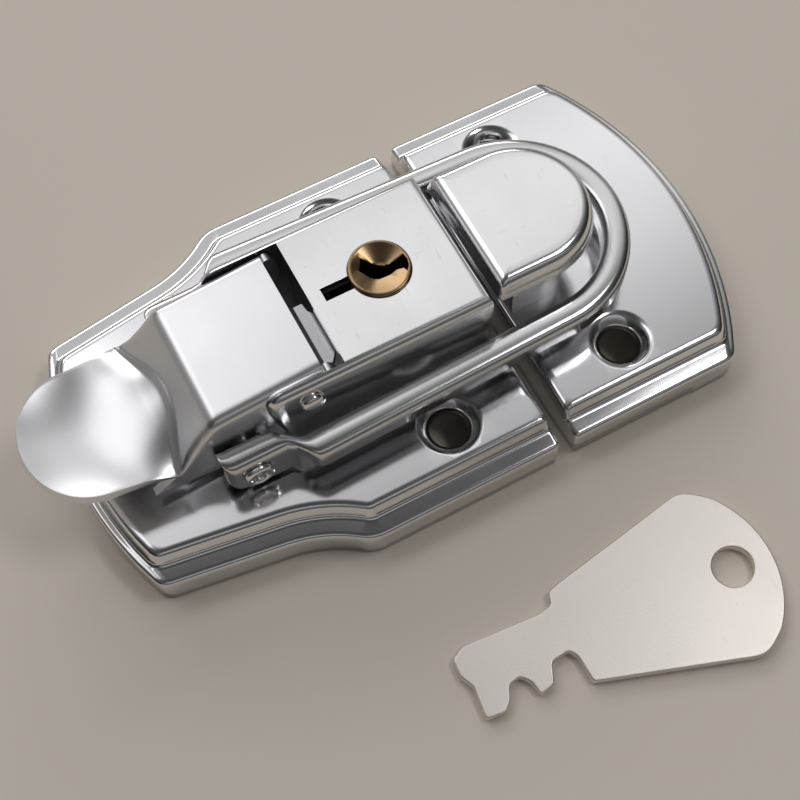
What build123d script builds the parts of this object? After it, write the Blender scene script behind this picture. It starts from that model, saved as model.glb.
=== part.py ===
from build123d import *
import math
import os

os.makedirs("parts", exist_ok=True)

# A lockable toggle latch with a thumb lever: the lever lies on the left and is shut, the lock is open
# X runs along the latch, Y across it, Z up from the surface that it is screwed to
# X = 0 is the line where the lever plate and the catch plate meet, and lengths are in mm

# Pressed plates
SHEET = 1.0
RIM_H = 5.6
DECK_H = 8.0
HALF_W = 28.0
PARTING_GAP = 2.5
SLOPE_FOOT = 2.6
SLOPE_TOP = 3.7
SLOPE_END = 1.3
DECK_R = 1.2
RIM_R = 0.8
COVE_R = 0.5

# Lever plate outline
TAIL_X = -59.2
TAIL_HALF_W = 20.4
TAIL_BOW = 4.0
WAIST_X = -41.5
WAIST_HALF_W = 23.0
SHOULDER_ANGLE = 37.0
KNEE_R = 5.6

# Catch plate outline, with a foot at its right end
NOSE_X = 28.2
NOSE_BOW = 8.2
FOOT_X = 21.6
FOOT_H = 0.9

# Countersunk screw holes in pressed dimples
SCREW_X = 14.0
SCREW_Y = 18.5
SCREW_R = 2.8
SINK_R = 4.6
SINK_DEPTH = SINK_R - SCREW_R
TAIL_SCREW_X = -54.5

# Lock case, a folded channel whose walls run on as ears for the lever pin
CASE_T = 1.1
CASE_HALF_W = 11.4
CASE_TOP = 23.5
CASE_LEFT = -25.4
CASE_RIGHT = -3.6
CASE_R = 1.3
EAR_LEFT = -36.9
TAB_LENGTH = 4.0
TAB_REACH = 1.8
TAB_PLACES = (-20.0, -9.0)

# Lock inside the case: a turning plug with a crank disc, and a bolt that the disc shifts
PLUG_X = -14.9
PLUG_R = 4.4
PLUG_TOP = 24.0
PLUG_BOTTOM = 9.3
PLUG_RIM = 0.7
DISH_FLOOR_R = 1.4
DISH_DEPTH = 0.9
KEYWAY_W = 1.7
KEYWAY_RIGHT = 3.9
WARD_DEPTH = 1.3
WARD_HALF_W = 1.9
CRANK_THROW = 1.7
CRANK_R = 6.2
CRANK_Z = 15.45
CRANK_T = 1.9
BODY_LEFT = -23.9
BODY_RIGHT = -4.8
BODY_HALF_W = 10.2
BODY_SPLIT = 17.5
BODY_TOP = 22.3
CHANNEL_FLOOR = 15.3
BIT_R = 8.5
BIT_HALF_T = 1.05
BIT_ROOF = 21.7
BOLT_Z = 15.4
BOLT_T = 2.0
BOLT_TOP = 19.8
BOLT_NEAR = -9.2
BOLT_FAR = 6.2
NOSE_NEAR = -6.3
NOSE_FAR = -1.3
NOSE_RIGHT = -21.3
COVER_SCREWS = ((-8.0, 8.2), (-21.8, 8.2))
BODY_SCREWS = ((-7.2, -7.4), (-21.8, 7.8))
SCREW_SLOT_W = 0.6

# Lever, its pivot, and the pivot of the bail that it carries
LEVER_T = 1.2
LEVER_HALF_W = 10.0
LEVER_R = 1.5
PIVOT_X = -31.0
PIVOT_Z = 19.3
PIN_R = 1.25
PIN_HEAD_R = 1.75
EYE_X = -41.0
EYE_Z = 12.4
EYE_PIN_R = 1.4
EYE_HEAD_R = 2.2
EYE_HOLLOW_R = 1.0
LEVER_END_X = -28.4
LEVER_END_Z = 23.7
BEND_X = -44.2
BEND_Z = 22.2
NECK_X = -54.4
NECK_Z = 10.4
BILL_X = -58.7
BILL_R = 9.7
BILL_SHOULDER = (-65.2, 7.4)
BILL_ROOT_X = -50.6
BILL_ROOT_HALF_W = 10.8
TONGUE_Z = 20.0
TONGUE_T = 1.2

# Bail, a loop pressed from sheet as an upturned channel with a joggled eye at each end
BAIL_W = 4.1
BAIL_T = 1.1
BAIL_TOP = 16.3
BAIL_BOTTOM = 12.5
BAIL_R = 16.5
BAIL_EDGE_R = 1.8
BAIL_ARC_X = 6.8
LEG_SPREAD = 1.8
LEG_END = -34.2
EYE_INNER = 10.45
EYE_OUTER = 14.3
EYE_R = 3.4
EYE_LEFT = -45.3
EYE_RIGHT = -35.2
EYE_CORNER_R = 1.6
JOGGLE_X = -37.9

# Catch, a hollow post with an overhanging cap
CAP_LEFT = -2.1
CAP_HALF_W = 10.6
CAP_TOP = 23.4
CAP_LIP = 19.8
CAP_T = 1.2
CAP_R = 1.3
POST_LEFT = 2.4
POST_INSET = 3.2
POST_WALL = 1.6
POST_RIVETS = ((4.9, 4.4), (4.9, -4.4), (11.0, 0.0))
POST_RIVET_R = 1.2

# Flat stamped key, lying on the surface in front of the latch
KEY_T = 1.5
KEY_HOLE_R = 2.9
KEY_X = 11.55
KEY_Y = -53.5
KEY_TURN = -5.2

# Running clearance between a pin and its hole
FIT = 0.05


def lever_plate_outline(side, end, parting):
    """Outline of the lever plate, drawn in at its sides, its bowed end and the parting line."""
    taper = math.degrees(math.atan2(WAIST_HALF_W - TAIL_HALF_W, WAIST_X - TAIL_X))
    rise = HALF_W - WAIST_HALF_W - KNEE_R * (1 - math.cos(math.radians(SHOULDER_ANGLE)))
    swing = math.cos(math.radians(taper)) - math.cos(math.radians(SHOULDER_ANGLE))
    left = TAIL_X - (side - end)
    corner = TAIL_HALF_W - (side - end) * math.tan(math.radians(taper))
    right = side - parting - PARTING_GAP / 2
    with BuildSketch() as outline:
        with BuildLine():
            flank = Line((left, corner), (WAIST_X, WAIST_HALF_W))
            flare = JernArc(flank @ 1, flank % 1, rise / swing, SHOULDER_ANGLE - taper)
            knee = JernArc(flare @ 1, flare % 1, KNEE_R, -SHOULDER_ANGLE)
            Line(knee @ 1, (right, HALF_W))
            mirror(about=Plane.XZ)
            ThreePointArc((left, corner), (left - TAIL_BOW, 0), (left, -corner))
            Line((right, HALF_W), (right, -HALF_W))
        make_face()
        if side > 0:
            offset(amount=-side, kind=Kind.INTERSECTION)
    return outline.sketch


def catch_plate_outline(side, end, parting):
    """Outline of the catch plate, drawn in at its sides, its bowed end and the parting line."""
    left = PARTING_GAP / 2 - side + parting
    right = NOSE_X + side - end
    with BuildSketch() as outline:
        with BuildLine():
            Polyline((right, HALF_W), (left, HALF_W), (left, -HALF_W), (right, -HALF_W))
            ThreePointArc((right, HALF_W), (right + NOSE_BOW, 0), (right, -HALF_W))
        make_face()
        if side > 0:
            offset(amount=-side, kind=Kind.INTERSECTION)
    return outline.sketch


def plate_block(outline, grow, mode):
    """Straight rim of a pressed plate, up to its ledge."""
    extrude(outline(grow, grow, grow), amount=RIM_H - grow, mode=mode)


def plate_slope(outline, grow, mode):
    """Slope of a pressed plate, from its ledge to its raised deck."""
    with BuildSketch(Plane.XY.offset(RIM_H - grow)) as foot:
        add(outline(SLOPE_FOOT + grow, SLOPE_END + grow, grow))
    with BuildSketch(Plane.XY.offset(DECK_H - grow)) as deck:
        add(outline(SLOPE_TOP + grow, SLOPE_END + grow + 0.5, grow + 0.01))
    loft([foot.sketch, deck.sketch], ruled=True, mode=mode)


def pressed_plate(outline):
    """A sheet pressed over the stepped form, with its bends rounded on the outside."""
    plate_block(outline, 0, Mode.ADD)
    rim = faces().sort_by(Axis.Z)[-1].edges()
    fillet(rim.filter_by(Axis.Y, reverse=True), RIM_R)
    plate_slope(outline, 0, Mode.ADD)
    fillet(faces().sort_by(Axis.Z)[-1].edges(), DECK_R)
    ledge = edges().filter_by_position(Axis.Z, RIM_H - 0.01, RIM_H + 0.01)
    fillet(ledge.filter_by(lambda edge: edge.is_interior), COVE_R)
    plate_block(outline, SHEET, Mode.SUBTRACT)
    plate_slope(outline, SHEET, Mode.SUBTRACT)


def screw_dimples(*places):
    """Press a boss beneath the deck at each place and countersink a screw hole in it."""
    wide = SINK_R + SHEET
    with Locations(*[(x, y, DECK_H - SHEET / 2) for x, y in places]):
        Cone(
            bottom_radius=wide - SINK_DEPTH - SHEET / 2,
            top_radius=wide,
            height=SINK_DEPTH + SHEET / 2,
            align=(Align.CENTER, Align.CENTER, Align.MAX),
        )
    with Locations(*[(x, y, DECK_H) for x, y in places]):
        CounterSinkHole(SCREW_R, SINK_R, depth=2 * SINK_DEPTH)


def block(x1, x2, y1, y2, z1, z2, mode=Mode.ADD):
    """A straight block between two corners."""
    with BuildSketch(Plane.XY.offset(z1)) as base:
        with Locations(((x1 + x2) / 2, (y1 + y2) / 2)):
            Rectangle(x2 - x1, y2 - y1)
    extrude(base.sketch, amount=z2 - z1, mode=mode)


def upright(radius, bottom, top, *places, mode=Mode.SUBTRACT):
    """Round holes between two heights, or round posts when they are added."""
    with BuildSketch(Plane.XY.offset(bottom)) as base:
        with Locations(*places):
            Circle(radius)
    extrude(base.sketch, amount=top - bottom, mode=mode)


def crossing(x, z, radius, mode=Mode.SUBTRACT, half_length=HALF_W):
    """A round bore along Y through everything at one place."""
    with BuildSketch(Plane.XZ) as end:
        with Locations((x, z)):
            Circle(radius)
    extrude(end.sketch, amount=half_length, both=True, mode=mode)


def pin_plane(x, z):
    """Drawing plane of a pin that lies along Y, with its own length across and its radius up."""
    return Plane(origin=(x, 0, z), x_dir=(0, 1, 0), z_dir=(1, 0, 0))


def case_side():
    """Side view of the lock case, with the ear that reaches left to the lever pin."""
    with BuildSketch(Plane.XZ) as side:
        with BuildLine():
            Polyline(
                (CASE_RIGHT, DECK_H),
                (CASE_RIGHT, CASE_TOP),
                (EAR_LEFT, CASE_TOP),
                (EAR_LEFT, PIVOT_Z),
                (-36.3, BAIL_TOP),
                (-33.4, DECK_H),
                close=True,
            )
        make_face()
        corner = side.vertices().group_by(Axis.X)[0]
        fillet(corner.sort_by(Axis.Y)[-1], 2.6)
        low = side.vertices().filter_by_position(Axis.X, EAR_LEFT - 0.1, EAR_LEFT + 0.1)
        fillet(low.sort_by(Axis.Y)[0], 2.0)
    return side.sketch


def bit_sweep(bottom, top):
    """Cut the quarter room that the bits of the key sweep round the plug."""
    diagonal = BIT_R * math.sin(math.radians(45))
    far = (PLUG_X, BIT_R)
    left = (PLUG_X - BIT_R, 0)
    with BuildSketch(Plane.XY.offset(bottom)) as room:
        with BuildLine():
            Polyline((PLUG_X, -BIT_HALF_T), (PLUG_X - BIT_R, -BIT_HALF_T), left)
            ThreePointArc(left, (PLUG_X - diagonal, diagonal), far)
            Polyline(far, (PLUG_X + BIT_HALF_T, BIT_R), (PLUG_X + BIT_HALF_T, 0), (PLUG_X, -BIT_HALF_T))
        make_face()
    extrude(room.sketch, amount=top - bottom, mode=Mode.SUBTRACT)


def lever_side():
    """Side view of the lever's solid form: top plate, sloping neck and side flanges."""
    reach = math.hypot(LEVER_END_X - PIVOT_X, LEVER_END_Z - PIVOT_Z)
    with BuildSketch(Plane.XZ) as side:
        with BuildLine():
            nose = CenterArc((PIVOT_X, PIVOT_Z), reach, -70, 70 + math.degrees(math.asin(4.4 / reach)))
            Polyline(
                nose @ 1,
                (BEND_X, BEND_Z),
                (NECK_X, NECK_Z),
                (BEND_X, EYE_Z - 3.2),
                (-37.6, EYE_Z - 3.3),
                nose @ 0,
            )
        make_face()
        bend = side.vertices().filter_by_position(Axis.Y, BEND_Z - 0.1, BEND_Z + 0.1)
        fillet(bend, 3.0)
    return side.sketch


def lever_hollow():
    """Side view of the hollow beneath the lever's sheet, open downward and to the right."""
    roof = math.atan2(LEVER_END_Z - BEND_Z, LEVER_END_X - BEND_X)
    neck = math.atan2(BEND_Z - NECK_Z, BEND_X - NECK_X)
    share = LEVER_T / (1 + math.cos(neck - roof))
    x = BEND_X + share * (math.sin(roof) + math.sin(neck))
    z = BEND_Z - share * (math.cos(roof) + math.cos(neck))
    run = 24.0
    with BuildSketch(Plane.XZ) as hollow:
        with BuildLine():
            Polyline(
                (x + run * math.cos(roof), z + run * math.sin(roof)),
                (x, z),
                (x - run * math.cos(neck), z - run * math.sin(neck)),
                (x + run * math.cos(roof), z - run * math.sin(neck)),
                close=True,
            )
        make_face()
        fillet(hollow.vertices().filter_by_position(Axis.Y, z - 0.1, z + 0.1), 1.8)
    return hollow.sketch


def bill_outline():
    """Plan of the bill, from the neck to its round tip."""
    with BuildSketch() as outline:
        with BuildLine():
            root = (BILL_ROOT_X, BILL_ROOT_HALF_W)
            edge = Spline(root, (-54.6, 10.06), (BILL_X, BILL_R), tangents=((-1, -0.25), (-1, 0)))
            Polyline(root, (BEND_X, BILL_ROOT_HALF_W), (BEND_X, 0))
            mirror(about=Plane.XZ)
            tip = (BILL_X - BILL_R, 0)
            shoulder = Spline(edge @ 1, BILL_SHOULDER, tip, tangents=((-1, 0), (0, -1)))
            mirror(shoulder, about=Plane.XZ)
        make_face()
    return outline.sketch


def behind_neck():
    """Side view of all that lies behind the middle of the neck's sheet."""
    neck = math.atan2(BEND_Z - NECK_Z, BEND_X - NECK_X)
    x = BEND_X + LEVER_T / 2 / math.sin(neck)
    with BuildSketch(Plane.XZ) as behind:
        with BuildLine():
            Polyline((x, BEND_Z), (x - BEND_Z / math.tan(neck), 0), (0, 0), (0, BEND_Z), close=True)
        make_face()
    return behind.sketch


def bill_section(x, centre, edge, thickness):
    """One cross-section of the thumb bill, a curved strip, or all that lies beneath it."""
    wide = BILL_ROOT_HALF_W + 0.4
    with BuildSketch(Plane.YZ.offset(x)) as section:
        with BuildLine():
            ThreePointArc((-wide, edge), (0, centre), (wide, edge))
            Line((wide, edge), (wide, edge - thickness))
            ThreePointArc((wide, edge - thickness), (0, centre - thickness), (-wide, edge - thickness))
            Line((-wide, edge - thickness), (-wide, edge))
        make_face()
    return section.sketch


def bill_form(drop, thickness, mode):
    """The saddle form of the bill: crowned at the neck and dished toward its tip."""
    heights = (
        (-45.5, 19.0, 12.6),
        (BILL_ROOT_X, 17.2, 14.6),
        (-55, 16, 16.2),
        (-59.5, 15.6, 17.3),
        (-64, 16.3, 18.4),
        (-69, 18.1, 19.4),
    )
    strips = [bill_section(x, centre - drop, edge - drop, thickness) for x, centre, edge in heights]
    loft(strips, mode=mode)


def roof_height(x):
    """Height of the underside of the lever's top plate at one place."""
    roof = math.atan2(LEVER_END_Z - BEND_Z, LEVER_END_X - BEND_X)
    return LEVER_END_Z + (x - LEVER_END_X) * math.tan(roof) - LEVER_T / math.cos(roof)


def bail_area(radius, left):
    """Plan of the bail's loop out to one radius of its nose, back to one place along its legs."""
    slope = math.radians(LEG_SPREAD)
    tangent_x = BAIL_ARC_X + radius * math.sin(slope)
    tangent_y = radius * math.cos(slope)
    end_y = tangent_y + (tangent_x - left) * math.tan(slope)
    with BuildSketch() as area:
        with BuildLine():
            Polyline((tangent_x, tangent_y), (left, end_y), (left, -end_y), (tangent_x, -tangent_y))
            ThreePointArc((tangent_x, tangent_y), (BAIL_ARC_X + radius, 0), (tangent_x, -tangent_y))
        make_face()
    return area.sketch


def bail_leg_y(radius, x):
    """Distance of a bail leg's face from the middle at one place along it."""
    slope = math.radians(LEG_SPREAD)
    return radius * math.cos(slope) + (BAIL_ARC_X + radius * math.sin(slope) - x) * math.tan(slope)


def catch_area(inset, left):
    """Plan of the catch: straight sides and a round nose."""
    half = CAP_HALF_W - inset
    with BuildSketch() as area:
        with BuildLine():
            Polyline((BAIL_ARC_X, half), (left, half), (left, -half), (BAIL_ARC_X, -half))
            ThreePointArc((BAIL_ARC_X, half), (BAIL_ARC_X + half, 0), (BAIL_ARC_X, -half))
        make_face()
    return area.sketch


def raise_area(area, bottom, top, mode=Mode.ADD):
    """Extrude a plan between two heights."""
    with BuildSketch(Plane.XY.offset(bottom)) as base:
        add(area)
    extrude(base.sketch, amount=top - bottom, mode=mode)


def hand_in(part, name):
    """Name a finished piece and write its file."""
    part.label = name
    export_step(part, f"parts/{name}.step")


# Plate that carries the lever and the lock
with BuildPart() as base_plate:
    pressed_plate(lever_plate_outline)
    screw_dimples((-SCREW_X, SCREW_Y), (-SCREW_X, -SCREW_Y), (TAIL_SCREW_X, 0))
    for x in TAB_PLACES:
        for wall in (CASE_HALF_W - CASE_T, -CASE_HALF_W):
            block(x - TAB_LENGTH / 2, x + TAB_LENGTH / 2, wall, wall + CASE_T, 6.0, 9.0, Mode.SUBTRACT)
    upright(POST_RIVET_R, 6.0, 9.0, *BODY_SCREWS)
hand_in(base_plate.part, "base_plate")

# Plate that carries the catch
with BuildPart() as catch_plate:
    pressed_plate(catch_plate_outline)
    screw_dimples((SCREW_X, SCREW_Y), (SCREW_X, -SCREW_Y))
    block(0, FOOT_X, HALF_W - 2, HALF_W + 1, 0, FOOT_H, Mode.SUBTRACT)
    block(0, FOOT_X, -HALF_W - 1, -HALF_W + 2, 0, FOOT_H, Mode.SUBTRACT)
    upright(POST_RIVET_R, 6.0, 9.0, *POST_RIVETS)
hand_in(catch_plate.part, "catch_plate")

# Folded case of the lock, held by tabs through the deck
with BuildPart() as lock_case:
    with BuildSketch(Plane.XZ):
        add(case_side())
    extrude(amount=CASE_HALF_W, both=True)
    roof = lock_case.faces().sort_by(Axis.Z)[-1]
    fillet(roof.edges().filter_by(Axis.X) + roof.edges().sort_by(Axis.X)[-1:], CASE_R)
    inner = CASE_HALF_W - CASE_T
    block(EAR_LEFT - 5, CASE_RIGHT - CASE_T, -inner, inner, 0, CASE_TOP - CASE_T, Mode.SUBTRACT)
    block(EAR_LEFT - 5, CASE_LEFT, -inner, inner, 0, CASE_TOP + 1, Mode.SUBTRACT)
    for x in TAB_PLACES:
        for wall in (inner, -CASE_HALF_W):
            block(x - TAB_LENGTH / 2, x + TAB_LENGTH / 2, wall, wall + CASE_T, DECK_H - TAB_REACH, DECK_H)
    upright(PLUG_R + FIT, 20, 25, (PLUG_X, 0))
    block(PLUG_X - BIT_R, PLUG_X, -BIT_HALF_T, BIT_HALF_T, 20, 25, Mode.SUBTRACT)
    crossing(PIVOT_X, PIVOT_Z, PIN_R)
hand_in(lock_case.part, "lock_case")

# Lower half of the lock body, with the channel of the bolt
with BuildPart() as lock_body:
    block(BODY_LEFT, BODY_RIGHT, -BODY_HALF_W, BODY_HALF_W, DECK_H, BODY_SPLIT)
    block(BODY_LEFT, -5.6, BOLT_NEAR - 0.1, BOLT_FAR + 0.1, CHANNEL_FLOOR, BODY_SPLIT, Mode.SUBTRACT)
    upright(PLUG_R + FIT, PLUG_BOTTOM - 0.1, BODY_SPLIT, (PLUG_X, 0))
    bit_sweep(PLUG_BOTTOM - 0.1, BODY_SPLIT)
    upright(POST_RIVET_R, DECK_H, 12.5, *BODY_SCREWS)
    upright(1.0, 14.0, BODY_SPLIT, *COVER_SCREWS)
hand_in(lock_body.part, "lock_body")

# Upper half of the lock body
with BuildPart() as lock_cover:
    block(BODY_LEFT, BODY_RIGHT, -BODY_HALF_W, BODY_HALF_W, BODY_SPLIT, BODY_TOP)
    upright(PLUG_R + FIT, BODY_SPLIT, BODY_TOP, (PLUG_X, 0))
    bit_sweep(BODY_SPLIT, BIT_ROOF)
    block(PLUG_X - BIT_R, PLUG_X, -BIT_HALF_T, BIT_HALF_T, BODY_SPLIT, BODY_TOP, Mode.SUBTRACT)
    way = (BODY_LEFT, NOSE_RIGHT + 0.1, NOSE_NEAR - FIT, NOSE_FAR + FIT)
    block(*way, BODY_SPLIT, BOLT_TOP + 0.1, Mode.SUBTRACT)
    with Locations(*[(x, y, BODY_TOP) for x, y in COVER_SCREWS]):
        CounterSinkHole(1.0, 1.9)
hand_in(lock_cover.part, "lock_cover")

# Two countersunk screws that hold the halves together
with BuildPart() as cover_screws:
    with Locations(*[(x, y, BODY_TOP) for x, y in COVER_SCREWS]):
        Cone(1.0, 1.9, 0.9, align=(Align.CENTER, Align.CENTER, Align.MAX))
    upright(1.0, 14.0, BODY_TOP - 0.9, *COVER_SCREWS, mode=Mode.ADD)
    half = SCREW_SLOT_W / 2
    for x, y in COVER_SCREWS:
        block(x - 2, x + 2, y - half, y + half, BODY_TOP - 0.4, BODY_TOP, Mode.SUBTRACT)
hand_in(cover_screws.part, "cover_screws")

# Two screws that hold the lock body down through the deck
with BuildPart() as body_screws:
    upright(POST_RIVET_R, DECK_H - SHEET, 12.5, *BODY_SCREWS, mode=Mode.ADD)
    upright(2.1, 5.5, DECK_H - SHEET, *BODY_SCREWS, mode=Mode.ADD)
    fillet(faces().group_by(Axis.Z)[0].edges(), 0.5)
    for x, y in BODY_SCREWS:
        block(x - 2.5, x + 2.5, y - half, y + half, 5.5, 6.0, Mode.SUBTRACT)
hand_in(body_screws.part, "body_screws")

# Plug that the key turns, with its keyway and a crank disc set off centre
with BuildPart() as key_plug:
    upright(PLUG_R, PLUG_BOTTOM, PLUG_TOP, (PLUG_X, 0), mode=Mode.ADD)
    chamfer(faces().sort_by(Axis.Z)[-1].edges(), 0.3)
    with Locations((PLUG_X, 0, PLUG_TOP)):
        Cone(
            bottom_radius=DISH_FLOOR_R,
            top_radius=PLUG_R - PLUG_RIM,
            height=DISH_DEPTH,
            align=(Align.CENTER, Align.CENTER, Align.MAX),
            mode=Mode.SUBTRACT,
        )
    shift = CRANK_THROW * math.cos(math.radians(45))
    upright(CRANK_R, CRANK_Z, CRANK_Z + CRANK_T, (PLUG_X + shift, -shift), mode=Mode.ADD)
    slot = KEYWAY_W / 2
    block(PLUG_X - CRANK_R, PLUG_X + KEYWAY_RIGHT, -slot, slot, PLUG_BOTTOM, PLUG_TOP, Mode.SUBTRACT)
    with BuildSketch(Plane.XY.offset(PLUG_BOTTOM)):
        with BuildLine():
            Polyline(
                (PLUG_X - WARD_HALF_W, -slot + FIT),
                (PLUG_X, -slot - WARD_DEPTH),
                (PLUG_X + WARD_HALF_W, -slot + FIT),
                close=True,
            )
        make_face()
    extrude(amount=PLUG_TOP - PLUG_BOTTOM, mode=Mode.SUBTRACT)
hand_in(key_plug.part, "key_plug")

# Bolt with a yoke round the crank disc and a nose that slides beneath the lever's tongue
with BuildPart() as latch_bolt:
    window = CRANK_R + 0.1
    middle = PLUG_X + shift
    block(middle - window - 1.5, middle + window + 1.4, BOLT_NEAR, BOLT_FAR, BOLT_Z, BOLT_Z + BOLT_T)
    block(BODY_LEFT, middle - window, NOSE_NEAR, NOSE_FAR, BOLT_Z, BOLT_Z + BOLT_T)
    block(BODY_LEFT, NOSE_RIGHT, NOSE_NEAR, NOSE_FAR, BOLT_Z, BOLT_TOP)
    chamfer(latch_bolt.edges().filter_by(Axis.Y).sort_by(Axis.X)[0:2].sort_by(Axis.Z)[-1], 0.4)
    block(middle - window, middle + window, -8.1, 5.1, BOLT_Z, BOLT_Z + BOLT_T, Mode.SUBTRACT)
hand_in(latch_bolt.part, "latch_bolt")

# Riveted pin that the lever swings on
with BuildPart() as lever_pin:
    with BuildSketch(pin_plane(PIVOT_X, PIVOT_Z)):
        with BuildLine():
            Polyline(
                (0, 0),
                (0, PIN_R),
                (CASE_HALF_W, PIN_R),
                (CASE_HALF_W, PIN_HEAD_R),
                (CASE_HALF_W + 0.3, PIN_HEAD_R),
                (CASE_HALF_W + 1.0, 0.9),
                (CASE_HALF_W + 1.0, 0),
                close=True,
            )
        make_face()
    revolve(axis=Axis((PIVOT_X, 0, PIVOT_Z), (0, 1, 0)))
    mirror(about=Plane.XZ)
hand_in(lever_pin.part, "lever_pin")

# Tube on the pin that keeps the lever's flanges apart
with BuildPart() as pin_spacer:
    crossing(PIVOT_X, PIVOT_Z, 1.6, Mode.ADD, LEVER_HALF_W - LEVER_T - 0.1)
    crossing(PIVOT_X, PIVOT_Z, PIN_R)
hand_in(pin_spacer.part, "pin_spacer")

# Thumb bill of the lever, cut to its round outline and trimmed where it leaves the neck
with BuildPart() as bill:
    bill_form(0, LEVER_T, Mode.ADD)
    raise_area(bill_outline(), 0, 2 * CASE_TOP, Mode.INTERSECT)
    rim = bill.edges().filter_by(lambda edge: edge.center().X < BILL_ROOT_X)
    fillet(rim.group_by(Edge.length)[-1], 0.4)
    extrude(behind_neck(), amount=2 * LEVER_HALF_W, both=True, mode=Mode.SUBTRACT)

# Room beneath the bill, which is open between the lever's flanges
with BuildPart() as under_bill:
    bill_form(LEVER_T, LEVER_T * 8, Mode.ADD)
    extrude(lever_side(), amount=LEVER_HALF_W - LEVER_T, both=True, mode=Mode.INTERSECT)

# Lever folded from sheet, with its thumb bill
with BuildPart() as lever:
    with BuildSketch(Plane.XZ):
        add(lever_side())
    extrude(amount=LEVER_HALF_W, both=True)
    shoulder = lever.edges().filter_by(lambda edge: abs(abs(edge.center().Y) - LEVER_HALF_W) < 0.01)
    fillet(shoulder.filter_by(lambda edge: edge.center().Z > 16 and edge.center().X < -29.5), LEVER_R)
    with BuildSketch(Plane.XZ):
        add(lever_hollow())
    extrude(amount=LEVER_HALF_W - LEVER_T, both=True, mode=Mode.SUBTRACT)
    add(under_bill.part, mode=Mode.SUBTRACT)
    add(bill.part)
    crossing(PIVOT_X, PIVOT_Z, PIN_R + FIT)
    crossing(EYE_X, EYE_Z, EYE_PIN_R)
hand_in(lever.part, "lever")

# Tongue beneath the lever's top plate, which the bolt slides under
with BuildPart() as lock_tongue:
    with BuildSketch(Plane.XZ):
        with BuildLine():
            Polyline(
                (-24.6, TONGUE_Z),
                (-24.6, TONGUE_Z + TONGUE_T),
                (-27.4, TONGUE_Z + TONGUE_T),
                (-28.8, roof_height(-28.8)),
                (-36.0, roof_height(-36.0)),
                (-36.0, roof_height(-36.0) - TONGUE_T),
                (-29.6, roof_height(-29.6) - TONGUE_T),
                (-28.2, TONGUE_Z),
                close=True,
            )
        make_face()
    extrude(amount=LEVER_HALF_W, both=True)
    with BuildSketch(Plane.XY.offset(TONGUE_Z - 1)):
        with BuildLine():
            Polyline(
                (-24.6, NOSE_NEAR),
                (-24.6, NOSE_FAR),
                (-25.8, 0.1),
                (-26.0, 1.5),
                (-36.0, 1.5),
                (-36.0, -8.4),
                (-26.2, -8.4),
                close=True,
            )
        make_face()
    extrude(amount=CASE_T * 5, mode=Mode.INTERSECT)
hand_in(lock_tongue.part, "lock_tongue")

# End of one bail leg, joggled in to a narrow box whose two walls carry the rivet, and its mirror image
with BuildPart() as bail_eyes:
    with BuildSketch(Plane.XY.offset(EYE_Z - EYE_R)) as box:
        with BuildLine():
            Polyline(
                (EYE_LEFT, EYE_INNER),
                (EYE_LEFT, EYE_OUTER),
                (EYE_RIGHT, EYE_OUTER),
                (EYE_X + EYE_R, EYE_INNER),
                close=True,
            )
        make_face()
        fillet(box.vertices().sort_by(Axis.X)[0:2].sort_by(Axis.Y)[-1], EYE_CORNER_R)
    extrude(amount=BAIL_TOP - EYE_Z + EYE_R)
    block(EYE_LEFT + BAIL_T, 0, EYE_INNER + BAIL_T, EYE_OUTER - BAIL_T, 0, BAIL_TOP - BAIL_T, Mode.SUBTRACT)
    with BuildSketch(Plane.XZ) as foot:
        with BuildLine():
            Polyline(
                (EYE_LEFT, EYE_Z),
                (EYE_LEFT, BAIL_TOP),
                (0, BAIL_TOP),
                (0, EYE_Z - EYE_R),
                (EYE_X, EYE_Z - EYE_R),
            )
            Spline((EYE_X, EYE_Z - EYE_R), (EYE_LEFT, EYE_Z), tangents=((-1, 0), (0, 1)))
        make_face()
    extrude(amount=-HALF_W, mode=Mode.INTERSECT)
    inner = bail_leg_y(BAIL_R - BAIL_W, LEG_END)
    outer = bail_leg_y(BAIL_R, LEG_END) - BAIL_EDGE_R
    with BuildSketch(Plane.XY.offset(BAIL_BOTTOM)):
        with BuildLine():
            Polyline(
                (LEG_END + 0.6, inner - 0.02),
                (LEG_END + 0.6, inner + BAIL_T),
                (LEG_END - 0.2, inner + BAIL_T),
                (JOGGLE_X - 0.3, EYE_INNER + BAIL_T),
                (JOGGLE_X - 1.6, EYE_INNER + BAIL_T),
                (JOGGLE_X - 1.6, EYE_INNER),
                (JOGGLE_X, EYE_INNER),
                (LEG_END, inner),
                close=True,
            )
        make_face()
    extrude(amount=BAIL_TOP - BAIL_BOTTOM)
    with BuildSketch(Plane.XY.offset(BAIL_TOP - BAIL_T)):
        with BuildLine():
            Polyline(
                (LEG_END + 0.6, inner),
                (LEG_END + 0.6, outer),
                (LEG_END - 0.4, outer),
                (EYE_RIGHT, EYE_OUTER),
                (EYE_X, EYE_OUTER),
                (EYE_X, EYE_INNER),
                (JOGGLE_X, EYE_INNER),
                (LEG_END, inner),
                close=True,
            )
        make_face()
    extrude(amount=BAIL_T)
    mirror(about=Plane.XZ)

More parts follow.
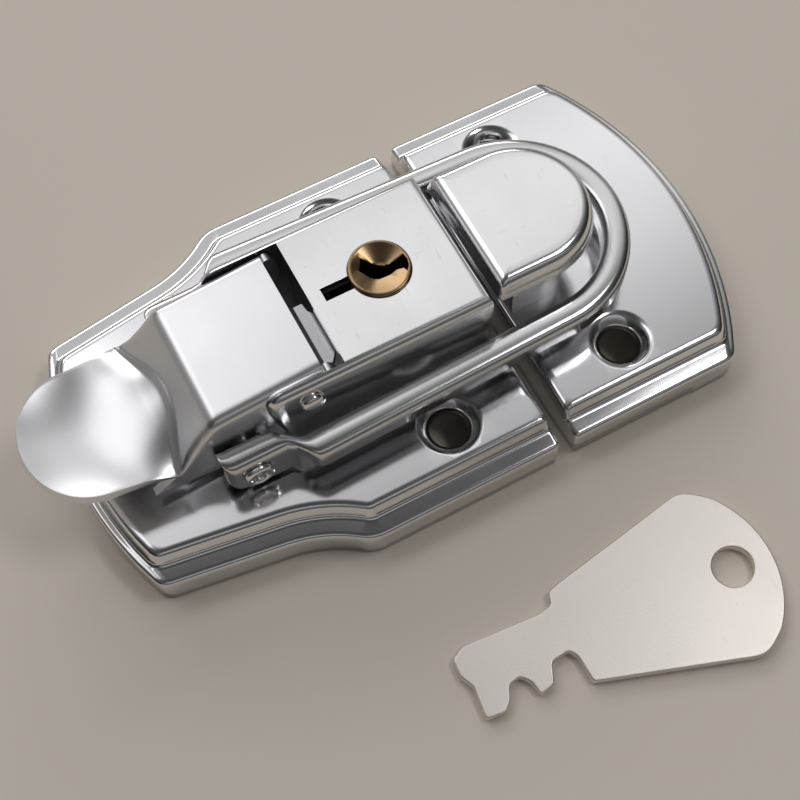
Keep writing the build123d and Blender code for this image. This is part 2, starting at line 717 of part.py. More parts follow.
# Bail: legs and nose in one channel, with an eye on each side of the lever
with BuildPart() as bail:
    raise_area(bail_area(BAIL_R, LEG_END), BAIL_BOTTOM, BAIL_TOP)
    raise_area(bail_area(BAIL_R - BAIL_W, LEG_END - 5), BAIL_BOTTOM, BAIL_TOP, Mode.SUBTRACT)
    crest = faces().sort_by(Axis.Z)[-1].edges()
    fillet(crest.filter_by(lambda edge: edge.length > 2 * BAIL_W), BAIL_EDGE_R)
    with BuildSketch(Plane.XY.offset(BAIL_BOTTOM)) as groove:
        add(bail_area(BAIL_R - BAIL_T, LEG_END - 5))
        add(bail_area(BAIL_R - BAIL_W + BAIL_T, LEG_END - 5), mode=Mode.SUBTRACT)
    extrude(amount=BAIL_TOP - BAIL_BOTTOM - BAIL_T, mode=Mode.SUBTRACT)
    add(bail_eyes.part)
    crossing(EYE_X, EYE_Z, EYE_PIN_R + FIT)
hand_in(bail.part, "bail")

# Two shouldered rivets that the eyes of the bail turn on
with BuildPart() as bail_rivets:
    flange = LEVER_HALF_W - LEVER_T
    eye = EYE_OUTER + FIT
    with BuildSketch(pin_plane(EYE_X, EYE_Z)):
        with BuildLine():
            Polyline(
                (flange - 0.9, 0),
                (flange - 0.9, EYE_HEAD_R),
                (flange, EYE_HEAD_R),
                (flange, EYE_PIN_R),
                (eye, EYE_PIN_R),
                (eye, EYE_HEAD_R),
                (eye + 0.5, EYE_HEAD_R),
                (eye + 0.9, EYE_HEAD_R - 0.5),
                (eye + 0.5, EYE_HOLLOW_R),
                (eye - 2.0, EYE_HOLLOW_R),
                (eye - 2.5, 0),
                (flange - 0.9, 0),
            )
        make_face()
    revolve(axis=Axis((EYE_X, 0, EYE_Z), (0, 1, 0)))
    mirror(about=Plane.XZ)
hand_in(bail_rivets.part, "bail_rivets")

# Overhanging cap of the catch
with BuildPart() as catch_cap:
    raise_area(catch_area(0, CAP_LEFT), CAP_LIP, CAP_TOP)
    fillet(faces().sort_by(Axis.Z)[-1].edges(), CAP_R)
    raise_area(catch_area(CAP_T, CAP_LEFT + CAP_T), CAP_LIP, CAP_TOP - CAP_T, Mode.SUBTRACT)
hand_in(catch_cap.part, "catch_cap")

# Hollow post beneath the cap, with bosses for its rivets
with BuildPart() as catch_post:
    raise_area(catch_area(POST_INSET, POST_LEFT), DECK_H, CAP_TOP - CAP_T)
    raise_area(catch_area(POST_INSET + POST_WALL, POST_LEFT + POST_WALL), DECK_H, CAP_LIP, Mode.SUBTRACT)
    upright(2.2, DECK_H, CAP_LIP, *POST_RIVETS, mode=Mode.ADD)
    upright(POST_RIVET_R, DECK_H, 13.0, *POST_RIVETS)
hand_in(catch_post.part, "catch_post")

# Three rivets that hold the post down through the deck
with BuildPart() as catch_rivets:
    upright(POST_RIVET_R, DECK_H - SHEET, 13.0, *POST_RIVETS, mode=Mode.ADD)
    upright(2.2, 6.0, DECK_H - SHEET, *POST_RIVETS, mode=Mode.ADD)
    fillet(faces().group_by(Axis.Z)[0].edges(), 0.6)
hand_in(catch_rivets.part, "catch_rivets")

# Key with a stepped bit, cut from flat stock
with BuildPart() as key:
    with BuildSketch() as blank:
        with BuildLine():
            back = Polyline((1.9, 10.4), (-1.6, 12.85), (-23.9, 7.2), (-25.0, 6.7), (-25.4, 5.0))
            spine = Polyline(back @ 1, (-27.2, 4.45), (-38.9, 4.42), (-40.85, 3.3), (-40.85, 0.6))
            tooth = Polyline(spine @ 1, (-39.8, -1.3), (-40.0, -5.9), (-37.2, -6.0), (-36.0, -4.8))
            dip = Polyline(tooth @ 1, (-35.2, -2.8), (-33.6, -2.4), (-32.4, -3.7), (-32.0, -5.7))
            step = Polyline(dip @ 1, (-29.7, -5.1), (-28.6, -2.2), (-26.0, -1.8), (-25.2, -3.0))
            Polyline(step @ 1, (-24.8, -6.9), (-1.6, -12.85), (1.9, -10.4))
            ThreePointArc((1.9, -10.4), (5.95, 0), (1.9, 10.4))
        make_face()
        fillet(blank.vertices().filter_by_position(Axis.X, -3, 3), 2.0)
        fillet(blank.vertices().filter_by_position(Axis.X, -42, -24), 0.3)
        Circle(KEY_HOLE_R, mode=Mode.SUBTRACT)
    extrude(amount=KEY_T)
    flats = key.faces().filter_by(Axis.Z)
    chamfer(flats.edges(), 0.15)
key.part = Pos(KEY_X, KEY_Y) * Rot(Z=KEY_TURN) * key.part
hand_in(key.part, "key")
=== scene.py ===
import math

import bmesh
import bpy
from mathutils import Matrix, Vector


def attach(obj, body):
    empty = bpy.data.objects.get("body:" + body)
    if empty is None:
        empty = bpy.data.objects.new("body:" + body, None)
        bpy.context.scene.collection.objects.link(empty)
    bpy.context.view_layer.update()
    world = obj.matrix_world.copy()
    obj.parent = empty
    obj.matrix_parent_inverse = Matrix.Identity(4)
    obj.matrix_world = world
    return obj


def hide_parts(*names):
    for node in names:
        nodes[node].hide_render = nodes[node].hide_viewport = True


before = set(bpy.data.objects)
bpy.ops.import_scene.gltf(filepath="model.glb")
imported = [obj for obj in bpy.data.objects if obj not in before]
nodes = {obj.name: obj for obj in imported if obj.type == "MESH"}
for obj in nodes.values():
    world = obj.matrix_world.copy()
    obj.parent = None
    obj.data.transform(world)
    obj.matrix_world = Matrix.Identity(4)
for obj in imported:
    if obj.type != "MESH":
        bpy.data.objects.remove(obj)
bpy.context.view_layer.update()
MM = 0.001


# Camera.
# It stands in front and to the left and looks steeply down, as in the photograph.
# Its place and lens come from a fit to the corners of both plates.
LENS_PIXELS, PHOTO_PIXELS = 1431.0, 800
CAMERA_AIM, CAMERA_REACH = (-16.59, -8.68, 0), 0.2101
turn, height, tilt = (math.radians(v) for v in (-27.36, 64.87, -0.90))
back = Vector((math.sin(turn) * math.cos(height), -math.cos(turn) * math.cos(height), math.sin(height)))
level = Vector((math.cos(turn), math.sin(turn), 0))
upward = back.cross(level)
across = level * math.cos(tilt) + upward * math.sin(tilt)
upward = upward * math.cos(tilt) - level * math.sin(tilt)
camera_data = bpy.data.cameras.new("camera")
camera_data.sensor_width = 36
camera_data.lens = LENS_PIXELS / PHOTO_PIXELS * camera_data.sensor_width
camera_data.clip_start, camera_data.clip_end = 0.01, 10
camera = bpy.data.objects.new("camera", camera_data)
bpy.context.collection.objects.link(camera)
camera.matrix_world = Matrix((across, upward, back)).transposed().to_4x4()
camera.location = Vector(CAMERA_AIM) * MM + back * CAMERA_REACH
bpy.context.scene.camera = camera
bpy.context.scene.view_settings.view_transform = "Standard"


# Floor.
# A plain pale sheet, matt and warm, that lies just beneath the rims of the plates.
def bare_material(name):
    """A new material with its node tree and its main shader."""
    material = bpy.data.materials.new(name)
    material.use_nodes = True
    return material, material.node_tree, material.node_tree.nodes["Principled BSDF"]


floor_paint, tree, shader = bare_material("pale_floor")
shader.inputs["Base Color"].default_value = (0.86, 0.775, 0.67, 1)
shader.inputs["Roughness"].default_value = 0.75
shader.inputs["Specular IOR Level"].default_value = 0.15
form = bmesh.new()
bmesh.ops.create_grid(form, x_segments=1, y_segments=1, size=3.0)
floor_mesh = bpy.data.meshes.new("floor")
form.to_mesh(floor_mesh)
form.free()
floor_mesh.materials.append(floor_paint)
floor = bpy.data.objects.new("floor", floor_mesh)
bpy.context.collection.objects.link(floor)
floor.location.z = -0.1 * MM


# Studio.
# A grey room with one bright band high up behind, dark overhead and mostly in front, and three soft panels.
# Bright metal shows that band on its level faces and the dark parts on its slopes.
# The camera itself sees a plain pale backdrop.
world = bpy.data.worlds.new("studio")
bpy.context.scene.world = world
world.use_nodes = True
tree = world.node_tree
air = tree.nodes["Background"]
place = tree.nodes.new("ShaderNodeTexCoord")
split = tree.nodes.new("ShaderNodeSeparateXYZ")
tree.links.new(place.outputs["Generated"], split.inputs[0])


def grey_ramp(tree, source, stops):
    """A ramp of greys over one value."""
    ramp = tree.nodes.new("ShaderNodeValToRGB")
    tree.links.new(source, ramp.inputs[0])
    ramp.color_ramp.elements[0].position = stops[0][0]
    ramp.color_ramp.elements[-1].position = stops[-1][0]
    for where, _ in stops[1:-1]:
        ramp.color_ramp.elements.new(where)
    for element, (where, grey) in zip(ramp.color_ramp.elements, stops):
        element.color = (grey, grey, grey, 1)
    return ramp.outputs[0]


room = grey_ramp(tree, split.outputs["Z"], (
    (0.0, 0.45), (0.15, 0.25), (0.45, 0.35), (0.62, 0.7), (0.76, 1.0), (0.90, 1.0), (1.0, 0.75)))
behind = tree.nodes.new("ShaderNodeMapRange")
tree.links.new(split.outputs["Y"], behind.inputs["Value"])
behind.inputs["From Min"].default_value = -1
behind.inputs["From Max"].default_value = 1
front_to_back = grey_ramp(tree, behind.outputs[0], (
    (0.0, 0.30), (0.17, 0.40), (0.20, 0.55), (0.23, 0.12), (0.40, 0.07), (0.56, 0.10), (0.655, 0.40),
    (0.69, 0.82), (0.722, 1.10), (0.75, 0.82), (0.79, 0.62), (1.0, 0.38)))
mixed = tree.nodes.new("ShaderNodeMix")
mixed.data_type = "RGBA"
mixed.blend_type = "MULTIPLY"
mixed.inputs["Factor"].default_value = 1
tree.links.new(room, mixed.inputs["A"])
tree.links.new(front_to_back, mixed.inputs["B"])
backdrop = tree.nodes.new("ShaderNodeMix")
backdrop.data_type = "RGBA"
backdrop.inputs["B"].default_value = (0.55, 0.51, 0.46, 1)
ray = tree.nodes.new("ShaderNodeLightPath")
tree.links.new(ray.outputs["Is Camera Ray"], backdrop.inputs["Factor"])
tree.links.new(mixed.outputs["Result"], backdrop.inputs["A"])
tree.links.new(backdrop.outputs["Result"], air.inputs["Color"])
air.inputs["Strength"].default_value = 1.0


def soft_panel(name, place, aim, width, height, power, tint=(1, 1, 1)):
    """A rectangular area lamp that faces one point."""
    lamp = bpy.data.lights.new(name, "AREA")
    lamp.shape = "RECTANGLE"
    lamp.size, lamp.size_y = width, height
    lamp.energy = power
    lamp.color = tint
    panel = bpy.data.objects.new(name, lamp)
    bpy.context.collection.objects.link(panel)
    panel.location = place
    panel.rotation_mode = "QUATERNION"
    panel.rotation_quaternion = (Vector(aim) - Vector(place)).to_track_quat("-Z", "Y")


soft_panel("panel_left", (-0.29, 0.38, 0.70), (0, 0, 0), 0.50, 0.36, 0.46, (0.97, 0.98, 1.0))
soft_panel("panel_right", (0.32, -0.11, 0.72), (0, 0, 0), 0.26, 0.14, 0.75)
soft_panel("panel_back", (0.05, 0.80, 0.46), (0, 0, 0), 0.90, 0.30, 2.0)


# Bright plating.
# Thin chrome over pressed steel: nearly a mirror, with a soft haze, faint ripples of the pressing,
# fine polishing scratches and a few specks in the plating.
def group_tree(name, inputs, outputs):
    """An empty shader node group with named sockets, and its two end nodes."""
    group = bpy.data.node_groups.new(name, "ShaderNodeTree")
    for label, kind in inputs:
        group.interface.new_socket(label, in_out="INPUT", socket_type=kind)
    for label, kind in outputs:
        group.interface.new_socket(label, in_out="OUTPUT", socket_type=kind)
    return group, group.nodes.new("NodeGroupInput"), group.nodes.new("NodeGroupOutput")


def maths(tree, operation, *values):
    """One sum of two or three values, each a number or another node's output."""
    node = tree.nodes.new("ShaderNodeMath")
    node.operation = operation
    for socket, value in zip(node.inputs, values):
        if isinstance(value, (int, float)):
            socket.default_value = value
        else:
            tree.links.new(value, socket)
    return node.outputs[0]


def noise(tree, vector, scale, detail, distortion=0.0):
    """A cloudy pattern between 0 and 1."""
    node = tree.nodes.new("ShaderNodeTexNoise")
    tree.links.new(vector, node.inputs["Vector"])
    node.inputs["Scale"].default_value = scale
    node.inputs["Detail"].default_value = detail
    node.inputs["Distortion"].default_value = distortion
    return node.outputs[0]


def stretched(tree, vector, scale, angle):
    """Coordinates turned about Z and stretched, for marks that run one way."""
    node = tree.nodes.new("ShaderNodeMapping")
    tree.links.new(vector, node.inputs["Vector"])
    node.inputs["Scale"].default_value = scale
    node.inputs["Rotation"].default_value = (0, 0, math.radians(angle))
    return node.outputs[0]


def threshold(tree, value, low, high):
    """A mask that rises from 0 to 1 between two levels."""
    node = tree.nodes.new("ShaderNodeMapRange")
    node.interpolation_type = "SMOOTHSTEP"
    tree.links.new(value, node.inputs["Value"])
    node.inputs["From Min"].default_value = low
    node.inputs["From Max"].default_value = high
    return node.outputs[0]


surface_marks, start, end = group_tree(
    "surface_marks",
    (("Place", "NodeSocketVector"), ("Colour", "NodeSocketColor"), ("Shine", "NodeSocketFloat"),
     ("Haze", "NodeSocketFloat"), ("Ripple", "NodeSocketFloat"), ("Grain", "NodeSocketFloat"),
     ("Scratches", "NodeSocketFloat")),
    (("Colour", "NodeSocketColor"), ("Roughness", "NodeSocketFloat"), ("Height", "NodeSocketFloat")),
)
where = start.outputs["Place"]
patches = noise(surface_marks, where, 90, 4)
fine = noise(surface_marks, where, 3800, 2)
waves = noise(surface_marks, where, 45, 1)
lines = []
for scale, angle in (((240, 5200, 900), 24), ((4600, 310, 900), -37)):
    marks = noise(surface_marks, stretched(surface_marks, where, scale, angle), 1.0, 2)
    lines.append(threshold(surface_marks, marks, 0.68, 0.76))
scratched = maths(surface_marks, "MAXIMUM", lines[0], lines[1])
scratched = maths(surface_marks, "MULTIPLY", scratched, start.outputs["Scratches"])
specks = threshold(surface_marks, noise(surface_marks, where, 1500, 1), 0.80, 0.84)
spread = maths(surface_marks, "SUBTRACT", start.outputs["Haze"], start.outputs["Shine"])
rough = maths(surface_marks, "MULTIPLY_ADD", patches, spread, start.outputs["Shine"])
rough = maths(surface_marks, "ADD", rough, maths(surface_marks, "MULTIPLY", scratched, 0.10))
rough = maths(surface_marks, "ADD", rough, maths(surface_marks, "MULTIPLY", specks, 0.15))
surface_marks.links.new(rough, end.inputs["Roughness"])
relief = maths(surface_marks, "MULTIPLY", waves, start.outputs["Ripple"])
relief = maths(surface_marks, "ADD", relief, maths(surface_marks, "MULTIPLY", fine, start.outputs["Grain"]))
relief = maths(surface_marks, "SUBTRACT", relief, maths(surface_marks, "MULTIPLY", scratched, 0.006))
surface_marks.links.new(relief, end.inputs["Height"])
dull = surface_marks.nodes.new("ShaderNodeMix")
dull.data_type = "RGBA"
dull.blend_type = "MULTIPLY"
dull.inputs["B"].default_value = (0.72, 0.71, 0.70, 1)
surface_marks.links.new(start.outputs["Colour"], dull.inputs["A"])
marred = maths(surface_marks, "MULTIPLY", maths(surface_marks, "MAXIMUM", specks, scratched), 0.6)
surface_marks.links.new(marred, dull.inputs["Factor"])
surface_marks.links.new(dull.outputs["Result"], end.inputs["Colour"])


def metal_finish(name, colour, shine, haze, ripple, grain, scratches):
    """A metal surface with the shared marks at its own strengths."""
    material, tree, shader = bare_material(name)
    shader.inputs["Metallic"].default_value = 1
    place = tree.nodes.new("ShaderNodeTexCoord")
    marks = tree.nodes.new("ShaderNodeGroup")
    marks.node_tree = surface_marks
    tree.links.new(place.outputs["Object"], marks.inputs["Place"])
    marks.inputs["Colour"].default_value = (*colour, 1)
    strengths = {"Shine": shine, "Haze": haze, "Ripple": ripple, "Grain": grain, "Scratches": scratches}
    for label, value in strengths.items():
        marks.inputs[label].default_value = value
    bump = tree.nodes.new("ShaderNodeBump")
    bump.inputs["Distance"].default_value = 0.1 * MM
    bump.inputs["Strength"].default_value = 1
    tree.links.new(marks.outputs["Height"], bump.inputs["Height"])
    tree.links.new(bump.outputs[0], shader.inputs["Normal"])
    tree.links.new(marks.outputs["Colour"], shader.inputs["Base Color"])
    tree.links.new(marks.outputs["Roughness"], shader.inputs["Roughness"])
    return material


plate_chrome = metal_finish("plate_chrome", (0.80, 0.80, 0.815), 0.09, 0.19, 0.55, 0.006, 0.25)


# Lever plate.
# Sheet steel pressed into a stepped tray with a straight rim, a ledge and a raised deck.
# Its left end is bowed and narrow, its sides flare to shoulders, and three screw holes are sunk in it.
def smooth_piece(name, form, material, open_sheet=False):
    """A mesh object with smooth shading, whose faces look outward, or upward on an open sheet."""
    bmesh.ops.remove_doubles(form, verts=form.verts, dist=0.002 * MM)
    bmesh.ops.recalc_face_normals(form, faces=form.faces)
    if open_sheet and sum(face.normal.z * face.calc_area() for face in form.faces) < 0:
        bmesh.ops.reverse_faces(form, faces=form.faces)
    mesh = bpy.data.meshes.new(name)
    form.to_mesh(mesh)
    form.free()
    mesh.materials.append(material)
    mesh.shade_smooth()
    piece = bpy.data.objects.new(name, mesh)
    bpy.context.collection.objects.link(piece)
    return piece


def soft_edges(piece, width, segments=2, angle=38):
    """Round the sharp edges of a piece."""
    bevel = piece.modifiers.new("soft_edges", "BEVEL")
    bevel.width = width * MM
    bevel.segments = segments
    bevel.limit_method = "ANGLE"
    bevel.angle_limit = math.radians(angle)
    bevel.use_clamp_overlap = True


def flat_faces(piece):
    """Let large level faces keep their own direction, so that only the bends shade round."""
    normals = piece.modifiers.new("flat_faces", "WEIGHTED_NORMAL")
    normals.keep_sharp = True
    normals.weight = 90


def skin_loops(form, loops, closed=True):
    """Faces between loops of equal length, and the loops' vertices."""
    rows = [[form.verts.new(Vector(p) * MM) for p in loop] for loop in loops]
    count = len(rows[0])
    for lower, upper in zip(rows, rows[1:]):
        for i in range(count if closed else count - 1):
            j = (i + 1) % count
            form.faces.new((lower[i], lower[j], upper[j], upper[i]))
    return rows


def bent(points, cuts, steps=4):
    """A line of points whose inner corners are rounded, each by its own cut length."""
    line = [points[0]]
    for before, corner, after, cut in zip(points, points[1:], points[2:], cuts):
        before, corner, after = Vector(before), Vector(corner), Vector(after)
        first = corner + (before - corner).normalized() * cut
        last = corner + (after - corner).normalized() * cut
        for i in range(steps + 1):
            t = i / steps
            line.append(tuple(first * (1 - t) ** 2 + corner * 2 * t * (1 - t) + last * t ** 2))
    line.append(points[-1])
    return line


RIM_TOP, DECK_TOP, SHEET = 5.6, 8.0, 1.0
LEDGE_FALL = 0.25
DECK_BACK, RIM_BACK = DECK_TOP - SHEET, RIM_TOP - SHEET
side_profile = bent(
    ((0, 0), (0, RIM_TOP), (2.75, RIM_TOP + LEDGE_FALL), (3.7, DECK_TOP), (4.6, DECK_TOP)), (0.8, 0.5, 0.7))
end_profile = bent(((0, 0), (0, RIM_TOP), (1.35, RIM_TOP), (2.1, DECK_TOP), (3.2, DECK_TOP)), (0.7, 0.5, 0.9))
joint_profile = bent(((0, 0), (0, 5.3), (0.01, RIM_TOP), (0.1, DECK_TOP), (1.7, DECK_TOP)), (0.15, 0.1, 1.1))
outer_stations = [
    (s[0], e[0], j[0], (s[1], e[1], j[1])) for s, e, j in zip(side_profile, end_profile, joint_profile)]
inner_stations = [(side, end, joint, (z, z, z)) for side, end, joint, z in (
    (5.0, 3.4, 2.0, DECK_BACK), (4.7, 3.0, 1.0, DECK_BACK), (3.6, 2.3, 1.0, RIM_BACK),
    (SHEET, SHEET, SHEET, RIM_BACK), (SHEET, SHEET, SHEET, 0))]


def rounded_corner(before, corner, after, radius, steps=5):
    """Points round one corner of an outline."""
    return bent((before, corner, after), (radius,), steps)[1:-1]


def spaced(first, last, count):
    """Points evenly spaced between two places, without the ends."""
    return [tuple(Vector(first).lerp(Vector(last), (i + 1) / (count + 1))) for i in range(count)]


def whole_outline(half):
    """A closed outline from its far half, whose first and last points lie on the middle line."""
    return half + [(x, -y, kind) for x, y, kind in reversed(half[1:-1])]


PARTING, HALF_W, JOINT_CORNER, END_CORNER = 1.25, 28.0, 0.8, 1.5
TAIL = dict(x=-59.2, half_w=20.4, bow=4.0)
WAIST = (-41.5, 23.0)
SHOULDER, KNEE_R = math.radians(37), 5.6


def lever_plate_outline(side, end, joint):
    """The lever plate's outline, drawn in by its own amount at sides, bowed end and joint."""
    taper = math.atan2(WAIST[1] - TAIL["half_w"], WAIST[0] - TAIL["x"])
    flare_r = (HALF_W - WAIST[1] - KNEE_R * (1 - math.cos(SHOULDER))) / (math.cos(taper) - math.cos(SHOULDER))
    flare_c = Vector(WAIST) + Vector((-math.sin(taper), math.cos(taper))) * flare_r
    knee_start = flare_c + Vector((math.sin(SHOULDER), -math.cos(SHOULDER))) * flare_r
    knee_c = knee_start + Vector((math.sin(SHOULDER), -math.cos(SHOULDER))) * KNEE_R
    bow_r = (TAIL["half_w"] ** 2 + TAIL["bow"] ** 2) / (2 * TAIL["bow"])
    bow_c = Vector((TAIL["x"] - TAIL["bow"] + bow_r, 0))
    right, top = -PARTING - joint, HALF_W - side
    knee = [knee_c + Vector((-math.sin(a), math.cos(a))) * (KNEE_R - side)
            for a in (SHOULDER * i / 9 for i in range(10))]
    flare = [flare_c + Vector((math.sin(a), -math.cos(a))) * (flare_r + side)
             for a in (SHOULDER + (taper - SHOULDER) * i / 8 for i in range(9))]
    run = Vector((math.cos(taper), math.sin(taper)))
    offset = flare[-1] - bow_c
    along = offset.dot(run)
    reach = -along - math.sqrt(along ** 2 - offset.length_squared + (bow_r - end) ** 2)
    corner = flare[-1] + run * reach
    swing = math.asin(corner.y / (bow_r - end))
    bow = [bow_c + Vector((-math.cos(a), math.sin(a))) * (bow_r - end)
           for a in (swing * (1 - i / 9) for i in range(10))]
    joint_corner = rounded_corner((right, 0), (right, top), (knee[0].x, top), JOINT_CORNER)
    end_corner = rounded_corner(tuple(flare[-1]), tuple(corner), tuple(bow[2]), END_CORNER)
    half = [(right, y, 2) for y in (0, 7, 14, 20)]
    half += [(*p, 2 if i < 3 else 0) for i, p in enumerate(joint_corner)]
    half += [(*p, 0) for p in spaced((right, top), tuple(knee[0]), 5)]
    half += [(*p, 0) for p in knee + flare]
    half += [(*p, 0) for p in spaced(tuple(flare[-1]), tuple(corner), 4)]
    half += [(*p, 0 if i < 3 else 1) for i, p in enumerate(end_corner)]
    half += [(*p, 1) for p in bow[2:]]
    return whole_outline(half)


HOLE_TOP = ((4.85, 0), (4.65, 0.02), (4.4, 0.09), (4.1, 0.23), (3.8, 0.43), (3.5, 0.70), (3.2, 1.03),
            (2.98, 1.38), (2.85, 1.70), (2.8, 1.95))
HOLE_BACK = ((2.8, 2.7), (3.3, 2.6), (3.75, 2.1), (4.05, 1.55), (4.25, 1.2), (4.4, 1.03), (4.48, 1.0),
             (4.56, 1.0))


def sunk_hole(form, x, y):
    """A screw hole sunk in a pressed dimple, as rings from the deck down to the hole and round beneath."""
    rings = []
    for radius, drop in HOLE_TOP + HOLE_BACK:
        rings.append([(x + radius * math.cos(a), y + radius * math.sin(a), DECK_TOP - drop)
                      for a in (math.tau * i / 56 for i in range(56))])
    return skin_loops(form, rings)


def skin_between(form, first, second):
    """Faces between two loops of vertices."""
    count = len(first)
    for i in range(count):
        j = (i + 1) % count
        form.faces.new((first[i], first[j], second[j], second[i]))


def pressed_plate(name, outline, holes, foot=None):
    """A stepped tray in one skin: rim, ledge, slope and deck outside, and the same within."""
    form = bmesh.new()
    loops = []
    for side, end, joint, heights in outer_stations + inner_stations:
        loop = [(x, y, heights[kind]) for x, y, kind in outline(side, end, joint)]
        if foot:
            loop = [(x, y, max(z, foot["lift"]) if x < foot["x"] and abs(y) > foot["past_y"] else z)
                    for x, y, z in loop]
        loops.append(loop)
    split_at = len(outer_stations)
    outer = skin_loops(form, loops[:split_at])
    inner = skin_loops(form, loops[split_at:])
    face_edges, back_edges = [outer[-1]], [inner[0]]
    skin_between(form, outer[0], inner[-1])
    for x, y in holes:
        rings = sunk_hole(form, x, y)
        face_edges.append(rings[0])
        back_edges.append(rings[-1])
    for deck_edges in (face_edges, back_edges):
        edges = []
        for ring in deck_edges:
            for a, b in zip(ring, ring[1:] + ring[:1]):
                edges.append(form.edges.get((a, b)) or form.edges.new((a, b)))
        bmesh.ops.triangle_fill(form, use_beauty=True, use_dissolve=False, edges=edges, normal=(0, 0, 1))
    piece = smooth_piece(name, form, plate_chrome)
    flat_faces(piece)
    return piece


SCREW_X, SCREW_Y, TAIL_SCREW_X = 14.0, 18.5, -54.5
lever_plate_holes = ((-SCREW_X, SCREW_Y), (-SCREW_X, -SCREW_Y), (TAIL_SCREW_X, 0))
piece = pressed_plate("lever_plate", lever_plate_outline, lever_plate_holes)
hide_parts("base_plate")
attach(piece, "frame")


# Catch plate.
# The matching tray for the lid, with a bowed right end.
# Its side rims are cut up a little, so that it stands on a foot at its right end.
NOSE = dict(x=28.2, bow=8.2)
FOOT = dict(x=21.6, lift=0.9, past_y=HALF_W - 1.9)


def catch_plate_outline(side, end, joint):
    """The catch plate's outline, drawn in by its own amount at sides, bowed end and joint."""
    bow_r = (HALF_W ** 2 + NOSE["bow"] ** 2) / (2 * NOSE["bow"])
    bow_c = Vector((NOSE["x"] + NOSE["bow"] - bow_r, 0))
    left, top = PARTING + joint, HALF_W - side
    swing = math.asin(top / (bow_r - end))
    bow = [bow_c + Vector((math.cos(a), math.sin(a))) * (bow_r - end)
           for a in (swing * i / 14 for i in range(15))]
    end_corner = rounded_corner(tuple(bow[12]), tuple(bow[14]), (left, top), END_CORNER)
    joint_corner = rounded_corner((NOSE["x"], top), (left, top), (left, 0), JOINT_CORNER)
    half = [(*p, 1) for p in bow[:13]]
    half += [(*p, 1 if i < 3 else 0) for i, p in enumerate(end_corner)]
    half += [(FOOT["x"] + 0.02, top, 0), (FOOT["x"] - 0.02, top, 0)]
    half += [(*p, 0) for p in spaced((FOOT["x"], top), (left, top), 5)]
    half += [(*p, 0 if i < 3 else 2) for i, p in enumerate(joint_corner)]
    half += [(left, y, 2) for y in (20, 14, 7, 0)]
    return whole_outline(half)


catch_plate_holes = ((SCREW_X, SCREW_Y), (SCREW_X, -SCREW_Y))
piece = pressed_plate("strike_plate", catch_plate_outline, catch_plate_holes, FOOT)
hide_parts("catch_plate")
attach(piece, "frame")


# Lock body.
# Two zinc castings, one on the other, that hold the plug and guide the bolt.
# The case hides them, apart from the room that shows through the slot beside the plug.
cast_zinc = metal_finish("cast_zinc", (0.42, 0.42, 0.43), 0.42, 0.58, 0.3, 0.25, 0.1)
for node in ("lock_body", "lock_cover"):
    nodes[node].material_slots[0].material = cast_zinc


# Screws of the lock body.
# Small steel screws with round slotted heads, put in from beneath through the deck.
# The cover's screws are of the same kind, and the rivets of the catch differ only in having no slot.
plain_steel = metal_finish("plain_steel", (0.56, 0.56, 0.57), 0.24, 0.38, 0.3, 0.05, 0.9)


